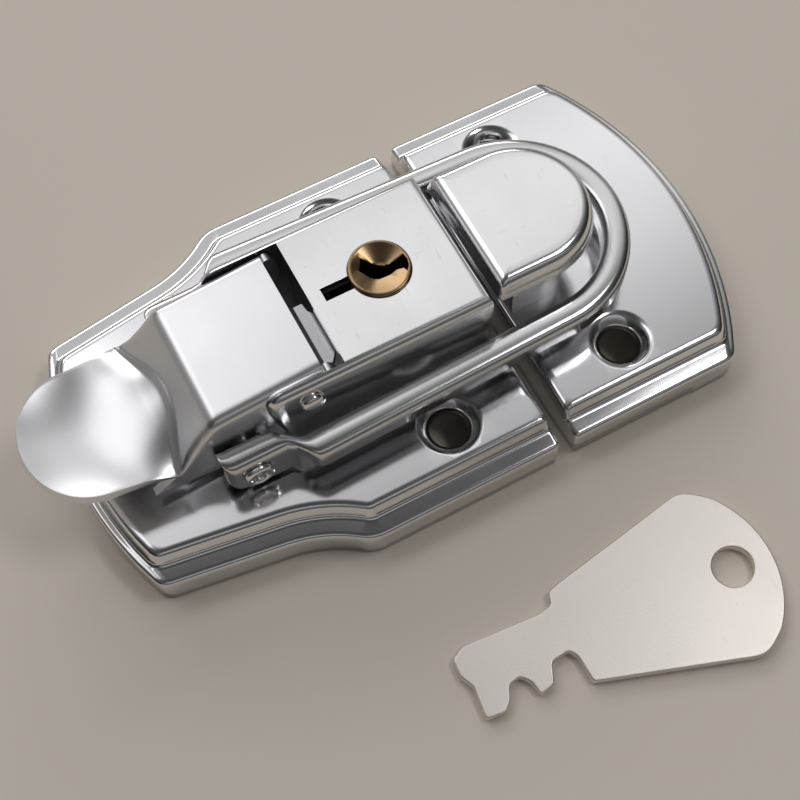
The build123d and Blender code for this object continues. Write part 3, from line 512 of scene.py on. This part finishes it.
def headed_pins_tree():
    """Geometry nodes that set a headed pin at every point: a shank with a domed and slotted head."""
    tree = bpy.data.node_groups.new("headed_pins", "GeometryNodeTree")
    sockets = {}
    tree.interface.new_socket("Places", in_out="INPUT", socket_type="NodeSocketGeometry")
    for label in ("Shank radius", "Shank length", "Head radius", "Head height", "Slot width", "Turn"):
        added = tree.interface.new_socket(label, in_out="INPUT", socket_type="NodeSocketFloat")
        sockets[label] = added.identifier
    added = tree.interface.new_socket("Metal", in_out="INPUT", socket_type="NodeSocketMaterial")
    sockets["Metal"] = added.identifier
    tree.interface.new_socket("Pins", in_out="OUTPUT", socket_type="NodeSocketGeometry")
    start = tree.nodes.new("NodeGroupInput")
    end = tree.nodes.new("NodeGroupOutput")
    links = tree.links

    def node(kind, **values):
        made = tree.nodes.new(kind)
        for label, value in values.items():
            socket = made.inputs[label.replace("_", " ")]
            if isinstance(value, bpy.types.NodeSocket):
                links.new(value, socket)
            else:
                socket.default_value = value
        return made

    shank_r, shank_l = start.outputs["Shank radius"], start.outputs["Shank length"]
    head_r, head_h = start.outputs["Head radius"], start.outputs["Head height"]
    shank = node("GeometryNodeMeshCylinder", Radius=shank_r, Depth=shank_l)
    shank.inputs["Vertices"].default_value = 28
    middle = node("ShaderNodeCombineXYZ", Z=maths(tree, "MULTIPLY", shank_l, 0.5))
    placed = node("GeometryNodeTransform", Geometry=shank.outputs["Mesh"], Translation=middle.outputs[0])
    dome = node("GeometryNodeMeshUVSphere", Radius=1.0)
    dome.inputs["Segments"].default_value = 32
    dome.inputs["Rings"].default_value = 16
    flatness = node("ShaderNodeCombineXYZ", X=head_r, Y=head_r, Z=head_h)
    head = node("GeometryNodeTransform", Geometry=dome.outputs["Mesh"], Scale=flatness.outputs[0])
    keep = tree.nodes.new("GeometryNodeMeshBoolean")
    keep.operation = "DIFFERENCE"
    ample = maths(tree, "MULTIPLY", head_r, 4.0)
    block_size = node("ShaderNodeCombineXYZ", X=ample, Y=ample, Z=ample)
    half_block = node("GeometryNodeMeshCube", Size=block_size.outputs[0])
    lift = node("ShaderNodeCombineXYZ", Z=maths(tree, "MULTIPLY", ample, 0.5))
    above = node("GeometryNodeTransform", Geometry=half_block.outputs["Mesh"], Translation=lift.outputs[0])
    slot_size = node("ShaderNodeCombineXYZ", X=ample, Y=start.outputs["Slot width"], Z=head_h)
    slot_bar = node("GeometryNodeMeshCube", Size=slot_size.outputs[0])
    sink = node("ShaderNodeCombineXYZ", Z=maths(tree, "MULTIPLY", head_h, -0.95))
    slot = node("GeometryNodeTransform", Geometry=slot_bar.outputs["Mesh"], Translation=sink.outputs[0])
    links.new(head.outputs[0], keep.inputs["Mesh 1"])
    links.new(above.outputs[0], keep.inputs["Mesh 2"])
    links.new(slot.outputs[0], keep.inputs["Mesh 2"])
    joined = tree.nodes.new("GeometryNodeJoinGeometry")
    links.new(placed.outputs[0], joined.inputs[0])
    links.new(keep.outputs[0], joined.inputs[0])
    turned = node("ShaderNodeCombineXYZ", Z=start.outputs["Turn"])
    row = tree.nodes.new("GeometryNodeInstanceOnPoints")
    links.new(start.outputs["Places"], row.inputs["Points"])
    links.new(joined.outputs[0], row.inputs["Instance"])
    links.new(turned.outputs[0], row.inputs["Rotation"])
    real = tree.nodes.new("GeometryNodeRealizeInstances")
    links.new(row.outputs[0], real.inputs[0])
    metal = tree.nodes.new("GeometryNodeSetMaterial")
    links.new(real.outputs[0], metal.inputs["Geometry"])
    links.new(start.outputs["Metal"], metal.inputs["Material"])
    links.new(metal.outputs[0], end.inputs["Pins"])
    return tree, sockets


pins_tree, pin_sockets = headed_pins_tree()


def headed_pins(name, places, sizes, metal, upside_down=False):
    """A row of headed pins as one plain mesh, heads down, or heads up when turned over."""
    points = bpy.data.meshes.new(name + "_places")
    flip = -1 if upside_down else 1
    points.from_pydata([Vector((x, flip * y, flip * z)) * MM for x, y, z in places], [], [])
    holder = bpy.data.objects.new(name + "_places", points)
    bpy.context.collection.objects.link(holder)
    row = holder.modifiers.new("pins", "NODES")
    row.node_group = pins_tree
    for label, value in sizes.items():
        row[pin_sockets[label]] = value if label == "Turn" else value * MM
    row[pin_sockets["Metal"]] = metal
    mesh = bpy.data.meshes.new_from_object(holder.evaluated_get(bpy.context.evaluated_depsgraph_get()))
    bpy.data.objects.remove(holder)
    if upside_down:
        mesh.transform(Matrix.Rotation(math.pi, 4, "X"))
    mesh.shade_smooth()
    mesh.name = name
    piece = bpy.data.objects.new(name, mesh)
    bpy.context.collection.objects.link(piece)
    soft_edges(piece, 0.08, 2, 40)
    flat_faces(piece)
    return piece


body_screw_places = ((-7.2, -7.4, DECK_BACK), (-21.8, 7.8, DECK_BACK))
body_screw_sizes = {"Shank radius": 1.18, "Shank length": 5.4, "Head radius": 2.1, "Head height": 1.5,
                    "Slot width": 0.6, "Turn": 0.5}
piece = headed_pins("body_screw_row", body_screw_places, body_screw_sizes, plain_steel)
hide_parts("body_screws")
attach(piece, "frame")


# Plug.
# Turned brass with a dished face and a narrow rim, cut through by the keyway.
# A crank disc, set off centre, stands out of it inside the body and shifts the bolt.
PLUG_X, PLUG_R = -14.9, 4.4


def turned(form, profile, centre, axis="Z", steps=72):
    """A turned solid: a profile of radius and height, spun round an upright or a crosswise line."""
    rings = []
    for radius, along in profile:
        ring = []
        for i in range(steps):
            a = math.tau * i / steps
            if axis == "Z":
                point = (centre[0] + radius * math.cos(a), centre[1] + radius * math.sin(a), along)
            else:
                point = (centre[0] + radius * math.cos(a), along, centre[1] + radius * math.sin(a))
            ring.append(point)
        rings.append(ring)
    rows = skin_loops(form, rings)
    form.faces.new(rows[0])
    form.faces.new(rows[-1])
    return rows


def cut_piece(name, form, cutter, material):
    """A piece with another closed form cut out of it."""
    piece = smooth_piece(name, form, material)
    knife = smooth_piece(name + "_cut", cutter, material)
    cut = piece.modifiers.new("cut", "BOOLEAN")
    cut.operation = "DIFFERENCE"
    cut.solver = "EXACT"
    cut.use_self = True
    cut.object = knife
    mesh = bpy.data.meshes.new_from_object(piece.evaluated_get(bpy.context.evaluated_depsgraph_get()))
    piece.modifiers.clear()
    piece.data = mesh
    bpy.data.objects.remove(knife)
    mesh.shade_smooth()
    return piece


def prism(form, outline, low, high):
    """A straight prism over an outline."""
    rows = skin_loops(form, [[(x, y, low) for x, y in outline], [(x, y, high) for x, y in outline]])
    form.faces.new(rows[0])
    form.faces.new(rows[1])


turned_brass = metal_finish("turned_brass", (0.35, 0.235, 0.13), 0.16, 0.30, 0.4, 0.04, 0.8)
tree = turned_brass.node_tree
height_in = tree.nodes["Bump"].inputs["Height"]
plain_height = height_in.links[0].from_socket
centred = tree.nodes.new("ShaderNodeMapping")
centred.inputs["Location"].default_value = (-PLUG_X * MM, 0, 0)
tree.links.new(tree.nodes["Texture Coordinate"].outputs["Object"], centred.inputs["Vector"])
flat = tree.nodes.new("ShaderNodeVectorMath")
flat.operation = "MULTIPLY"
flat.inputs[1].default_value = (1, 1, 0)
tree.links.new(centred.outputs[0], flat.inputs[0])
radius = tree.nodes.new("ShaderNodeVectorMath")
radius.operation = "LENGTH"
tree.links.new(flat.outputs[0], radius.inputs[0])
RING_RATE, RING_DEPTH = 36000, 0.012
tool_marks = maths(tree, "SINE", maths(tree, "MULTIPLY", radius.outputs["Value"], RING_RATE))
tool_marks = maths(tree, "MULTIPLY", tool_marks, RING_DEPTH)
tree.links.new(maths(tree, "ADD", plain_height, tool_marks), height_in)

PLUG_PROFILE = ((PLUG_R, 9.3), (PLUG_R, 23.75), (4.3, 23.93), (4.12, 24.0), (3.85, 23.97), (3.68, 23.85),
                (1.5, 23.12), (1.0, 23.06))
CRANK_PROFILE, CRANK_SHIFT = ((6.2, 15.45), (6.2, 17.35)), 1.2
form = bmesh.new()
turned(form, PLUG_PROFILE, (PLUG_X, 0))
turned(form, CRANK_PROFILE, (PLUG_X + CRANK_SHIFT, -CRANK_SHIFT))
cutter = bmesh.new()
KEYWAY = ((-2.6, 1.0), (-1.55, -0.6), (-0.75, -1.2), (0.85, -1.3), (2.05, -1.15), (2.9, -1.5), (3.1, -2.2),
          (3.7, -1.5), (3.95, -0.6), (3.8, 0.35), (2.5, 0.2), (1.65, 0.2), (0.5, 0.5), (-0.15, 1.15),
          (-0.95, 2.05), (-1.5, 2.7))
prism(cutter, [(PLUG_X + x, y) for x, y in KEYWAY], 9.0, 24.5)
piece = cut_piece("brass_plug_turned", form, cutter, turned_brass)
soft_edges(piece, 0.07, 2, 45)
flat_faces(piece)
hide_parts("key_plug")
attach(piece, "plug_body")


# Bolt.
# A stamped steel yoke round the plug's crank disc, with an upturned nose at its left end.
# The nose slides out beneath the lever's tongue when the key turns.
def cad_copy(name, node, material, width=0.15, angle=38, within=0.5):
    """A merged copy of a solid's mesh, with soft edges and round faces that shade smoothly."""
    form = bmesh.new()
    form.from_mesh(nodes[node].data)
    bmesh.ops.remove_doubles(form, verts=form.verts, dist=0.001 * MM)
    bmesh.ops.dissolve_limit(form, angle_limit=math.radians(within), verts=form.verts, edges=form.edges)
    mesh = bpy.data.meshes.new(name)
    form.to_mesh(mesh)
    form.free()
    mesh.materials.append(material)
    mesh.shade_smooth()
    piece = bpy.data.objects.new(name, mesh)
    bpy.context.collection.objects.link(piece)
    soft_edges(piece, width, 2, angle)
    flat_faces(piece)
    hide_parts(node)
    return piece


piece = cad_copy("bolt_stamping", "latch_bolt", plain_steel)
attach(piece, "bolt_body")


# Screws of the cover.
# Two countersunk steel screws that draw the halves of the lock body together.
# They are of the same make as the screws beneath, turned over, with flat heads.
COVER_TOP = 21.9
cover_screw_places = ((-8.0, 8.2, COVER_TOP), (-21.8, 8.2, COVER_TOP))
cover_screw_sizes = {"Shank radius": 0.98, "Shank length": 7.6, "Head radius": 1.85, "Head height": 0.38,
                     "Slot width": 0.5, "Turn": 0.9}
piece = headed_pins("cover_screw_row", cover_screw_places, cover_screw_sizes, plain_steel, upside_down=True)
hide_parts("cover_screws")
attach(piece, "frame")


# Lock case.
# A folded steel channel over the lock body, plated, with round bends and a closed right end.
# Its walls run on to the left as ears, and tabs beneath them hold it to the deck.
case_chrome = metal_finish("case_chrome", (0.82, 0.82, 0.83), 0.10, 0.24, 0.35, 0.010, 0.7)
piece = cad_copy("folded_case", "lock_case", case_chrome, 0.16, 30)
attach(piece, "frame")


# Lever pin and its spacer.
# A plated steel rivet through both ears, with a low round head on each side.
# A steel tube on it keeps the lever's flanges apart.
PIVOT, PIN_R, EAR_SIDE = (-31.0, 19.3), 1.25, 11.4
PIN_HEAD = ((1.75, EAR_SIDE), (1.78, 11.7), (1.62, 12.05), (1.2, 12.3), (0.6, 12.4), (0.2, 12.4))
form = bmesh.new()
profile = [(r, -y) for r, y in reversed(PIN_HEAD)] + [(PIN_R, -EAR_SIDE), (PIN_R, EAR_SIDE)] + list(PIN_HEAD)
turned(form, profile, PIVOT, "Y", 40)
piece = smooth_piece("lever_rivet", form, case_chrome)
flat_faces(piece)
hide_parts("lever_pin")
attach(piece, "frame")

TUBE = ((1.3, 8.7), (1.5, 8.7), (1.6, 8.6), (1.6, -8.6), (1.5, -8.7), (1.3, -8.7), (1.3, 8.7))
form = bmesh.new()
rings = []
for r, y in TUBE:
    rings.append([(PIVOT[0] + r * math.cos(a), y, PIVOT[1] + r * math.sin(a))
                  for a in (math.tau * i / 36 for i in range(36))])
skin_loops(form, rings)
piece = smooth_piece("spacer_tube", form, plain_steel)
flat_faces(piece)
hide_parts("pin_spacer")
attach(piece, "frame")


# Lever.
# Folded from one sheet: a flat top, a flange down each side, a sloping neck and a dished thumb bill.
# The flanges hang on the pin, carry the rivets of the bail, and taper off beneath the bill.
BEND_X, BEND_Z, TOP_END_X, TOP_END_Z = -44.2, 22.2, -28.4, 23.7
NECK_X, NECK_Z, CREASE_X, TIP_X = -54.4, 10.4, -50.7, -67.95
BEND_FROM, BEND_TO = -42.0, -46.2
LEVER_W, LEVER_T, FOLD_R, FOLD_FADE, NOSE_REACH = 10.0, 1.2, 1.35, 2.2, 5.11
FLANGE_FOOT = ((NECK_X, NECK_Z), (BEND_X, 9.2), (-37.6, 9.1), (-29.25, 14.5))
BILL_HEIGHTS = ((-43.0, 19.9, 11.2), (-45.5, 19.0, 12.6), (-50.6, 17.2, 14.6), (-55.0, 16.0, 16.2),
                (-59.5, 15.6, 17.3), (-64.0, 16.3, 18.4), (-69.0, 18.1, 19.4))
BILL_EDGE = ((-46.5, 10.0), (-48.6, 10.35), (-50.6, 10.8), (-52.6, 10.45), (-54.6, 10.06), (-58.7, 9.7))


def between(table, x):
    """The smooth values of a table at one place, its rows going down in x."""
    rows = [table[0]] + list(table) + [table[-1]]
    for i in range(1, len(rows) - 2):
        if x >= rows[i + 1][0] or i == len(rows) - 3:
            break
    a, b, c, d = rows[i - 1:i + 3]
    t = min(max((x - b[0]) / (c[0] - b[0]), 0), 1)
    values = []
    for k in range(1, len(b)):
        p, q, r, s = a[k], b[k], c[k], d[k]
        slope_in = (r - p) / 2 if a is not b else r - q
        slope_out = (s - q) / 2 if d is not c else r - q
        values.append((2 * t ** 3 - 3 * t ** 2 + 1) * q + (t ** 3 - 2 * t ** 2 + t) * slope_in
                      + (3 * t ** 2 - 2 * t ** 3) * r + (t ** 3 - t ** 2) * slope_out)
    return values


def soft_least(a, b, width):
    """The lesser of two heights, with a round bend where they meet."""
    mix = min(max(0.5 + 0.5 * (b - a) / width, 0), 1)
    return b + (a - b) * mix - width * mix * (1 - mix)


def bill_half_width(x):
    """Half the width of the lever's upper face at one place."""
    if x >= BILL_EDGE[0][0]:
        return LEVER_W
    last_x, last_half = BILL_EDGE[-1]
    if x <= last_x:
        return last_half * math.sqrt(max(1 - ((last_x - x) / (last_x - TIP_X)) ** 2.15, 0))
    return between(BILL_EDGE, x)[0]


def lever_face(x, y):
    """Height of the lever's upper face at one place."""
    roof = BEND_Z + (x - BEND_X) * (TOP_END_Z - BEND_Z) / (TOP_END_X - BEND_X)
    neck = BEND_Z + (x - BEND_X) * (BEND_Z - NECK_Z) / (BEND_X - NECK_X)
    folded = soft_least(roof, neck, 0.8)
    if x > BILL_HEIGHTS[0][0]:
        return folded
    centre, edge = between(BILL_HEIGHTS, x)
    bill = centre + (edge - centre) * (y / 11.2) ** 2
    bead = 0.26 * math.exp(-((folded - bill) / 0.32) ** 2)
    return -soft_least(-folded, -bill, 0.4) + bead


def flange_low(x):
    """Height of a flange's lower edge at one place."""
    for (left_x, left_z), (right_x, right_z) in zip(FLANGE_FOOT, FLANGE_FOOT[1:]):
        if x < right_x:
            return left_z + (right_z - left_z) * (x - left_x) / (right_x - left_x)
    return PIVOT[1] - math.sqrt(max(NOSE_REACH ** 2 - (x - PIVOT[0]) ** 2, 0))


def fold_radius(x):
    """Radius of the fold between top and flange, which fades out at the crease."""
    return FOLD_R * min(max((x - CREASE_X) / FOLD_FADE, 0), 1) ** 0.7


def flange_high(x):
    """Height of a flange's upper edge, where the fold begins."""
    if x < CREASE_X:
        share = (x - NECK_X) / (CREASE_X - NECK_X)
        neck = BEND_Z + (x - BEND_X) * (BEND_Z - NECK_Z) / (BEND_X - NECK_X)
        return neck - FOLD_R * share
    if x <= TOP_END_X:
        return lever_face(x, bill_half_width(x)) - fold_radius(x)
    fade = min((x - TOP_END_X) / 1.2, 1)
    return PIVOT[1] + math.sqrt(max(NOSE_REACH ** 2 - (x - PIVOT[0]) ** 2, 0)) - FOLD_R * (1 - fade) ** 2


def places_to(first, last, count):
    """Even steps from one place to another, without the first."""
    return [first + (last - first) * i / count for i in range(1, count + 1)]


BILL_FROM = BILL_EDGE[-1][0]
form = bmesh.new()
top_places = [TOP_END_X] + places_to(TOP_END_X, BEND_FROM, 6)
top_places += places_to(BEND_FROM, BEND_TO, 14) + places_to(BEND_TO, CREASE_X, 22)
bill_places = places_to(CREASE_X, BILL_FROM, 26)
bill_places += [BILL_FROM + (TIP_X + 0.01 - BILL_FROM) * math.sin(math.pi / 2 * i / 30) for i in range(1, 31)]
fold_angles = [math.radians(a) for a in (90, 72, 54, 36, 18, 0)]
rows = []
for x in top_places + bill_places:
    half = bill_half_width(x)
    fold = fold_radius(x)
    flat = half - fold
    offsets = [0.0] * 21 + [fold * (1 - math.sin(a)) for a in fold_angles[1:]]
    ys = [flat * i / 20 for i in range(21)] + [flat + fold * math.cos(a) for a in fold_angles[1:]]
    right_side = [(x, y, lever_face(x, y) - drop) for y, drop in zip(ys, offsets)]
    rows.append([(px, -py, pz) for px, py, pz in reversed(right_side[1:])] + right_side)
skin_loops(form, rows, closed=False)
nose_length = PIVOT[0] + NOSE_REACH - 0.01 - TOP_END_X
nose_places = [TOP_END_X + nose_length * math.sin(math.pi / 2 * i / 9) for i in range(9, 0, -1)]
for side in (1, -1):
    rows = []
    for x in nose_places + top_places + places_to(CREASE_X, NECK_X, 5):
        low, high = flange_low(x), flange_high(x)
        upper = bill_half_width(x) if x >= CREASE_X else LEVER_W
        rows.append([(x, side * (LEVER_W + (upper - LEVER_W) * i / 6), low + (high - low) * i / 6)
                     for i in range(7)])
    skin_loops(form, rows, closed=False)
lever_chrome = metal_finish("lever_chrome", (0.78, 0.775, 0.79), 0.26, 0.35, 0.30, 0.012, 0.2)
piece = smooth_piece("folded_lever", form, lever_chrome, open_sheet=True)
wall = piece.modifiers.new("sheet", "SOLIDIFY")
wall.thickness = LEVER_T * MM
wall.offset = -1
soft_edges(piece, 0.3, 3, 55)
flat_faces(piece)
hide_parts("lever")
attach(piece, "lever_body")


# Tongue.
# A small steel stamping under the lever's top, bent down into the gap beside the case.
# The bolt slides beneath it and holds the lever shut.
piece = cad_copy("tongue_stamping", "lock_tongue", plain_steel)
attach(piece, "lever_body")


# Bail.
# One strip of sheet pressed into a round-backed channel and bent into a long loop.
# Each leg is drawn in at its end to a narrow box, whose two walls turn on a rivet of the lever.
LOOP_X, LOOP_R, LOOP_W, LEG_ANGLE = 6.8, 16.5, 4.1, math.radians(1.8)
CROWN_Z, WALL_TOP, WALL_FOOT, BAIL_T = 16.3, 14.3, 12.5, 1.1
EYE_LEFT, EYE_INNER, EYE_OUTER, EYE_Z, EYE_FOOT = -45.3, 10.45, 14.3, 12.4, 9.0
EYE_X, EYE_LENGTH, EYE_ROUND = -41.0, 4.3, 1.6
OUTER_NECK, INNER_NECK = (-36.4, -32.6), (-38.4, -33.6)
OUTER_STEP, OUTER_STEP_Z, INNER_STEP_X = (-35.2, -34.1), 14.1, -37.6


def leg_side(radius, x):
    """Distance of a leg's side from the middle line at one place."""
    return radius * math.cos(LEG_ANGLE) + (LOOP_X + radius * math.sin(LEG_ANGLE) - x) * math.tan(LEG_ANGLE)


def eased(x, first, last):
    """A share that goes smoothly from 0 to 1 between two places."""
    t = min(max((x - first) / (last - first), 0), 1)
    return t * t * (3 - 2 * t)


def bail_section(outer, inner, outer_foot, inner_foot):
    """One cross-section of the bail: outer wall, round back and inner wall."""
    outer, inner = Vector(outer), Vector(inner)
    points = []
    for i in range(3):
        points.append((*outer, outer_foot + (WALL_TOP - outer_foot) * i / 3))
    for i in range(17):
        share = i / 16
        turn = math.pi * share
        q = (1 - math.copysign(abs(math.cos(turn)) ** 0.66, math.cos(turn))) / 2
        lift = abs(math.sin(turn)) ** 0.66
        points.append((*outer.lerp(inner, q), WALL_TOP + (CROWN_Z - WALL_TOP) * lift))
    for i in range(3):
        points.append((*inner, WALL_TOP + (inner_foot - WALL_TOP) * (i + 1) / 3))
    return points


def leg_sections():
    """Cross-sections along the far leg, from its eye to the start of the round nose."""
    past_end = (0, 0.12, 0.35, 0.7, 1.1, EYE_ROUND, 2.4, 3.4, EYE_LENGTH, 6, 7.7, 9.0, 10.05)
    places = [EYE_LEFT + t for t in past_end]
    places += [OUTER_STEP[0], -35.15, -34.7, OUTER_STEP[1], -34.05, -33.6, -33.0, -32.0]
    places += [-30, -25, -20, -15, -10, -5, 0, 4]
    sections = []
    for x in places:
        outer = EYE_OUTER + (leg_side(LOOP_R, x) - EYE_OUTER) * eased(x, *OUTER_NECK)
        inner = EYE_INNER + (leg_side(LOOP_R - LOOP_W, x) - EYE_INNER) * eased(x, *INNER_NECK)
        corner = EYE_ROUND - (x - EYE_LEFT)
        if corner > 0:
            outer -= EYE_ROUND - math.sqrt(EYE_ROUND ** 2 - corner ** 2)
        reach = min((x - EYE_LEFT) / EYE_LENGTH, 1)
        foot = EYE_Z - (EYE_Z - EYE_FOOT) * math.sqrt(1 - (1 - reach) ** 2)
        outer_foot = foot if x <= OUTER_STEP[0] else (OUTER_STEP_Z if x <= OUTER_STEP[1] else WALL_FOOT)
        inner_foot = foot if x <= INNER_STEP_X else WALL_FOOT
        sections.append(bail_section((x, outer), (x, inner), outer_foot, inner_foot))
    return sections


form = bmesh.new()
far_leg = leg_sections()
nose = []
for i in range(33):
    angle = (math.pi / 2 - LEG_ANGLE) * (1 - i / 16)
    spot = [(LOOP_X + r * math.cos(angle), r * math.sin(angle)) for r in (LOOP_R, LOOP_R - LOOP_W)]
    nose.append(bail_section(spot[0], spot[1], WALL_FOOT, WALL_FOOT))
near_leg = [[(x, -y, z) for x, y, z in section] for section in reversed(far_leg)]
rows = skin_loops(form, far_leg + nose + near_leg, closed=False)
for section in (rows[0], rows[-1]):
    form.faces.new(section)
bail_chrome = metal_finish("bail_chrome", (0.70, 0.70, 0.71), 0.13, 0.25, 0.6, 0.015, 0.5)
piece = smooth_piece("bail_loop", form, bail_chrome, open_sheet=True)
wall = piece.modifiers.new("sheet", "SOLIDIFY")
wall.thickness = BAIL_T * MM
wall.offset = -1
wall.use_even_offset = True
wall.thickness_clamp = 1.2
soft_edges(piece, 0.22, 2, 55)
flat_faces(piece)
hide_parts("bail")
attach(piece, "bail_body")


# Rivets of the bail.
# Two hollow steel rivets, set in the lever's flanges, whose outer ends are rolled over the eyes.
# The two are alike, so one turned profile serves both sides.
form = bmesh.new()
ROLLED = ((0.9, 7.95), (2.2, 7.95), (2.2, 8.8), (1.4, 8.8), (1.4, 14.35), (2.1, 14.36), (2.28, 14.55),
          (2.24, 14.85), (1.95, 15.1), (1.55, 15.18), (1.2, 15.0), (1.05, 14.6), (1.0, 13.0), (0.6, 12.6))
for side in (1, -1):
    turned(form, [(r, side * y) for r, y in ROLLED], (EYE_X, EYE_Z), "Y", 48)
piece = smooth_piece("hollow_rivets", form, case_chrome)
flat_faces(piece)
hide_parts("bail_rivets")
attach(piece, "lever_body")


# Post of the catch.
# A hollow zinc casting with a round nose, which carries the cap and takes the pull of the bail.
# It stays as the solid has it, with soft edges.
piece = cad_copy("post_casting", "catch_post", cast_zinc, 0.2, 30)
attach(piece, "frame")


# Cap of the catch.
# A drawn steel cap with a straight left end and a round nose, plated like the plates.
# Its skirt slopes a little outward, and its lip overhangs the post so that the bail hooks under it.
CAP_LEFT, CAP_HALF, CAP_X = -2.1, 10.6, 6.8
CAP_OUTSIDE = ((0.12, 19.8), (0.0, 20.0), (0.0, 20.35), (0.16, 20.7), (0.24, 21.3), (0.36, 21.9),
               (0.56, 22.5), (0.85, 22.95), (1.2, 23.22), (1.6, 23.36), (2.0, 23.4), (3.0, 23.4))
CAP_INSIDE = ((2.6, 22.2), (1.5, 22.0), (1.25, 21.2), (1.1, 19.8))


def cap_outline(inset):
    """The cap's outline, drawn in all round."""
    half = CAP_HALF - inset
    turns = [math.pi * (i / 40 - 0.5) for i in range(41)]
    points = [(CAP_X + half * math.cos(a), half * math.sin(a)) for a in turns]
    cut = max(0.9 - inset * 0.25, 0.3)
    points += spaced((CAP_X, half), (CAP_LEFT + inset, half), 3)
    points += rounded_corner((CAP_X, half), (CAP_LEFT + inset, half), (CAP_LEFT + inset, 0), cut)
    points += spaced((CAP_LEFT + inset, half - cut), (CAP_LEFT + inset, cut - half), 4)
    points += rounded_corner((CAP_LEFT + inset, 0), (CAP_LEFT + inset, -half), (CAP_X, -half), cut)
    points += spaced((CAP_LEFT + inset, -half), (CAP_X, -half), 3)
    return points


form = bmesh.new()
inside, outside = [
    skin_loops(form, [[(x, y, z) for x, y in cap_outline(inset)] for inset, z in table])
    for table in (CAP_INSIDE[::-1], CAP_OUTSIDE)]
form.faces.new(outside[-1])
form.faces.new(inside[-1])
skin_between(form, inside[0], outside[0])
piece = smooth_piece("drawn_cap", form, case_chrome)
flat_faces(piece)
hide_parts("catch_cap")
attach(piece, "frame")


# Rivets of the catch.
# Three plain steel rivets hold the post down to the deck, with low round heads beneath it.
# They have no slot, so its width is set too small to see.
NO_SLOT = 0.001
catch_rivet_places = ((4.9, 4.4, DECK_BACK), (4.9, -4.4, DECK_BACK), (11.0, 0.0, DECK_BACK))
catch_rivet_sizes = {"Shank radius": 1.18, "Shank length": 5.9, "Head radius": 2.2, "Head height": 1.0,
                     "Slot width": NO_SLOT, "Turn": 0.0}
piece = headed_pins("catch_rivet_row", catch_rivet_places, catch_rivet_sizes, plain_steel)
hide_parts("catch_rivets")
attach(piece, "frame")


# Key.
# Stamped from flat nickel-plated steel: a round-ended bow with a ring hole and a stepped bit.
# It lies loose on the floor in front of the latch.
KEY_PLACE, KEY_TURN, KEY_T = (11.55, -53.5), math.radians(-5.2), 1.5
BOW_R, BOW_MIDDLE, BOW_SWEEP, RING_HOLE_R = 15.38, -9.43, 42.55, 2.9
BOW_ROUND, BIT_ROUND, ROUND_SHARE = 2.6, 0.55, 0.45
KEY_EDGE = ((-1.6, 12.85), (-23.9, 7.2), (-25.0, 6.7), (-25.4, 5.0), (-27.2, 4.45), (-38.9, 4.42),
            (-40.85, 3.3), (-40.85, 0.6), (-39.8, -1.3), (-40.0, -5.9), (-37.2, -6.0), (-36.0, -4.8),
            (-35.2, -2.8), (-33.6, -2.4), (-32.4, -3.7), (-32.0, -5.7), (-29.7, -5.1), (-28.6, -2.2),
            (-26.0, -1.8), (-25.2, -3.0), (-24.8, -6.9), (-1.6, -12.85))


def key_outline():
    """The key's outline, with its corners rounded and its bow closed by an arc."""
    turns = [math.radians(BOW_SWEEP * (i / 10 - 1)) for i in range(21)]
    arc = [(BOW_MIDDLE + BOW_R * math.cos(a), BOW_R * math.sin(a)) for a in turns]
    corners = [arc[-1]] + list(KEY_EDGE) + [arc[0]]
    points = list(arc)
    for before, corner, after in zip(corners, corners[1:], corners[2:]):
        shorter = min((Vector(before) - Vector(corner)).length, (Vector(after) - Vector(corner)).length)
        most = BOW_ROUND if corner in (KEY_EDGE[0], KEY_EDGE[-1]) else BIT_ROUND
        points += rounded_corner(before, corner, after, min(most, shorter * ROUND_SHARE), 6)
    return points


def laid(points):
    """Points of the key, turned and moved to where it lies."""
    c, s = math.cos(KEY_TURN), math.sin(KEY_TURN)
    return [(KEY_PLACE[0] + x * c - y * s, KEY_PLACE[1] + x * s + y * c) for x, y in points]


form = bmesh.new()
blank = laid(key_outline())
turns = [math.tau * i / 48 for i in range(48)]
hole = laid([(RING_HOLE_R * math.cos(a), RING_HOLE_R * math.sin(a)) for a in turns])
rims = [skin_loops(form, [[(x, y, z) for x, y in line] for z in (0, KEY_T)]) for line in (blank, hole)]
for level_at in (0, 1):
    edges = []
    for rim in rims:
        ring = rim[level_at]
        edges += [form.edges.get((a, b)) for a, b in zip(ring, ring[1:] + ring[:1])]
    bmesh.ops.triangle_fill(form, use_beauty=True, use_dissolve=True, edges=edges, normal=(0, 0, 1))
key_nickel = metal_finish("key_nickel", (0.90, 0.84, 0.79), 0.33, 0.46, 0.5, 0.12, 0.35)
piece = smooth_piece("flat_key", form, key_nickel)
soft_edges(piece, 0.28, 3, 50)
flat_faces(piece)
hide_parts("key")
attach(piece, "key_body")
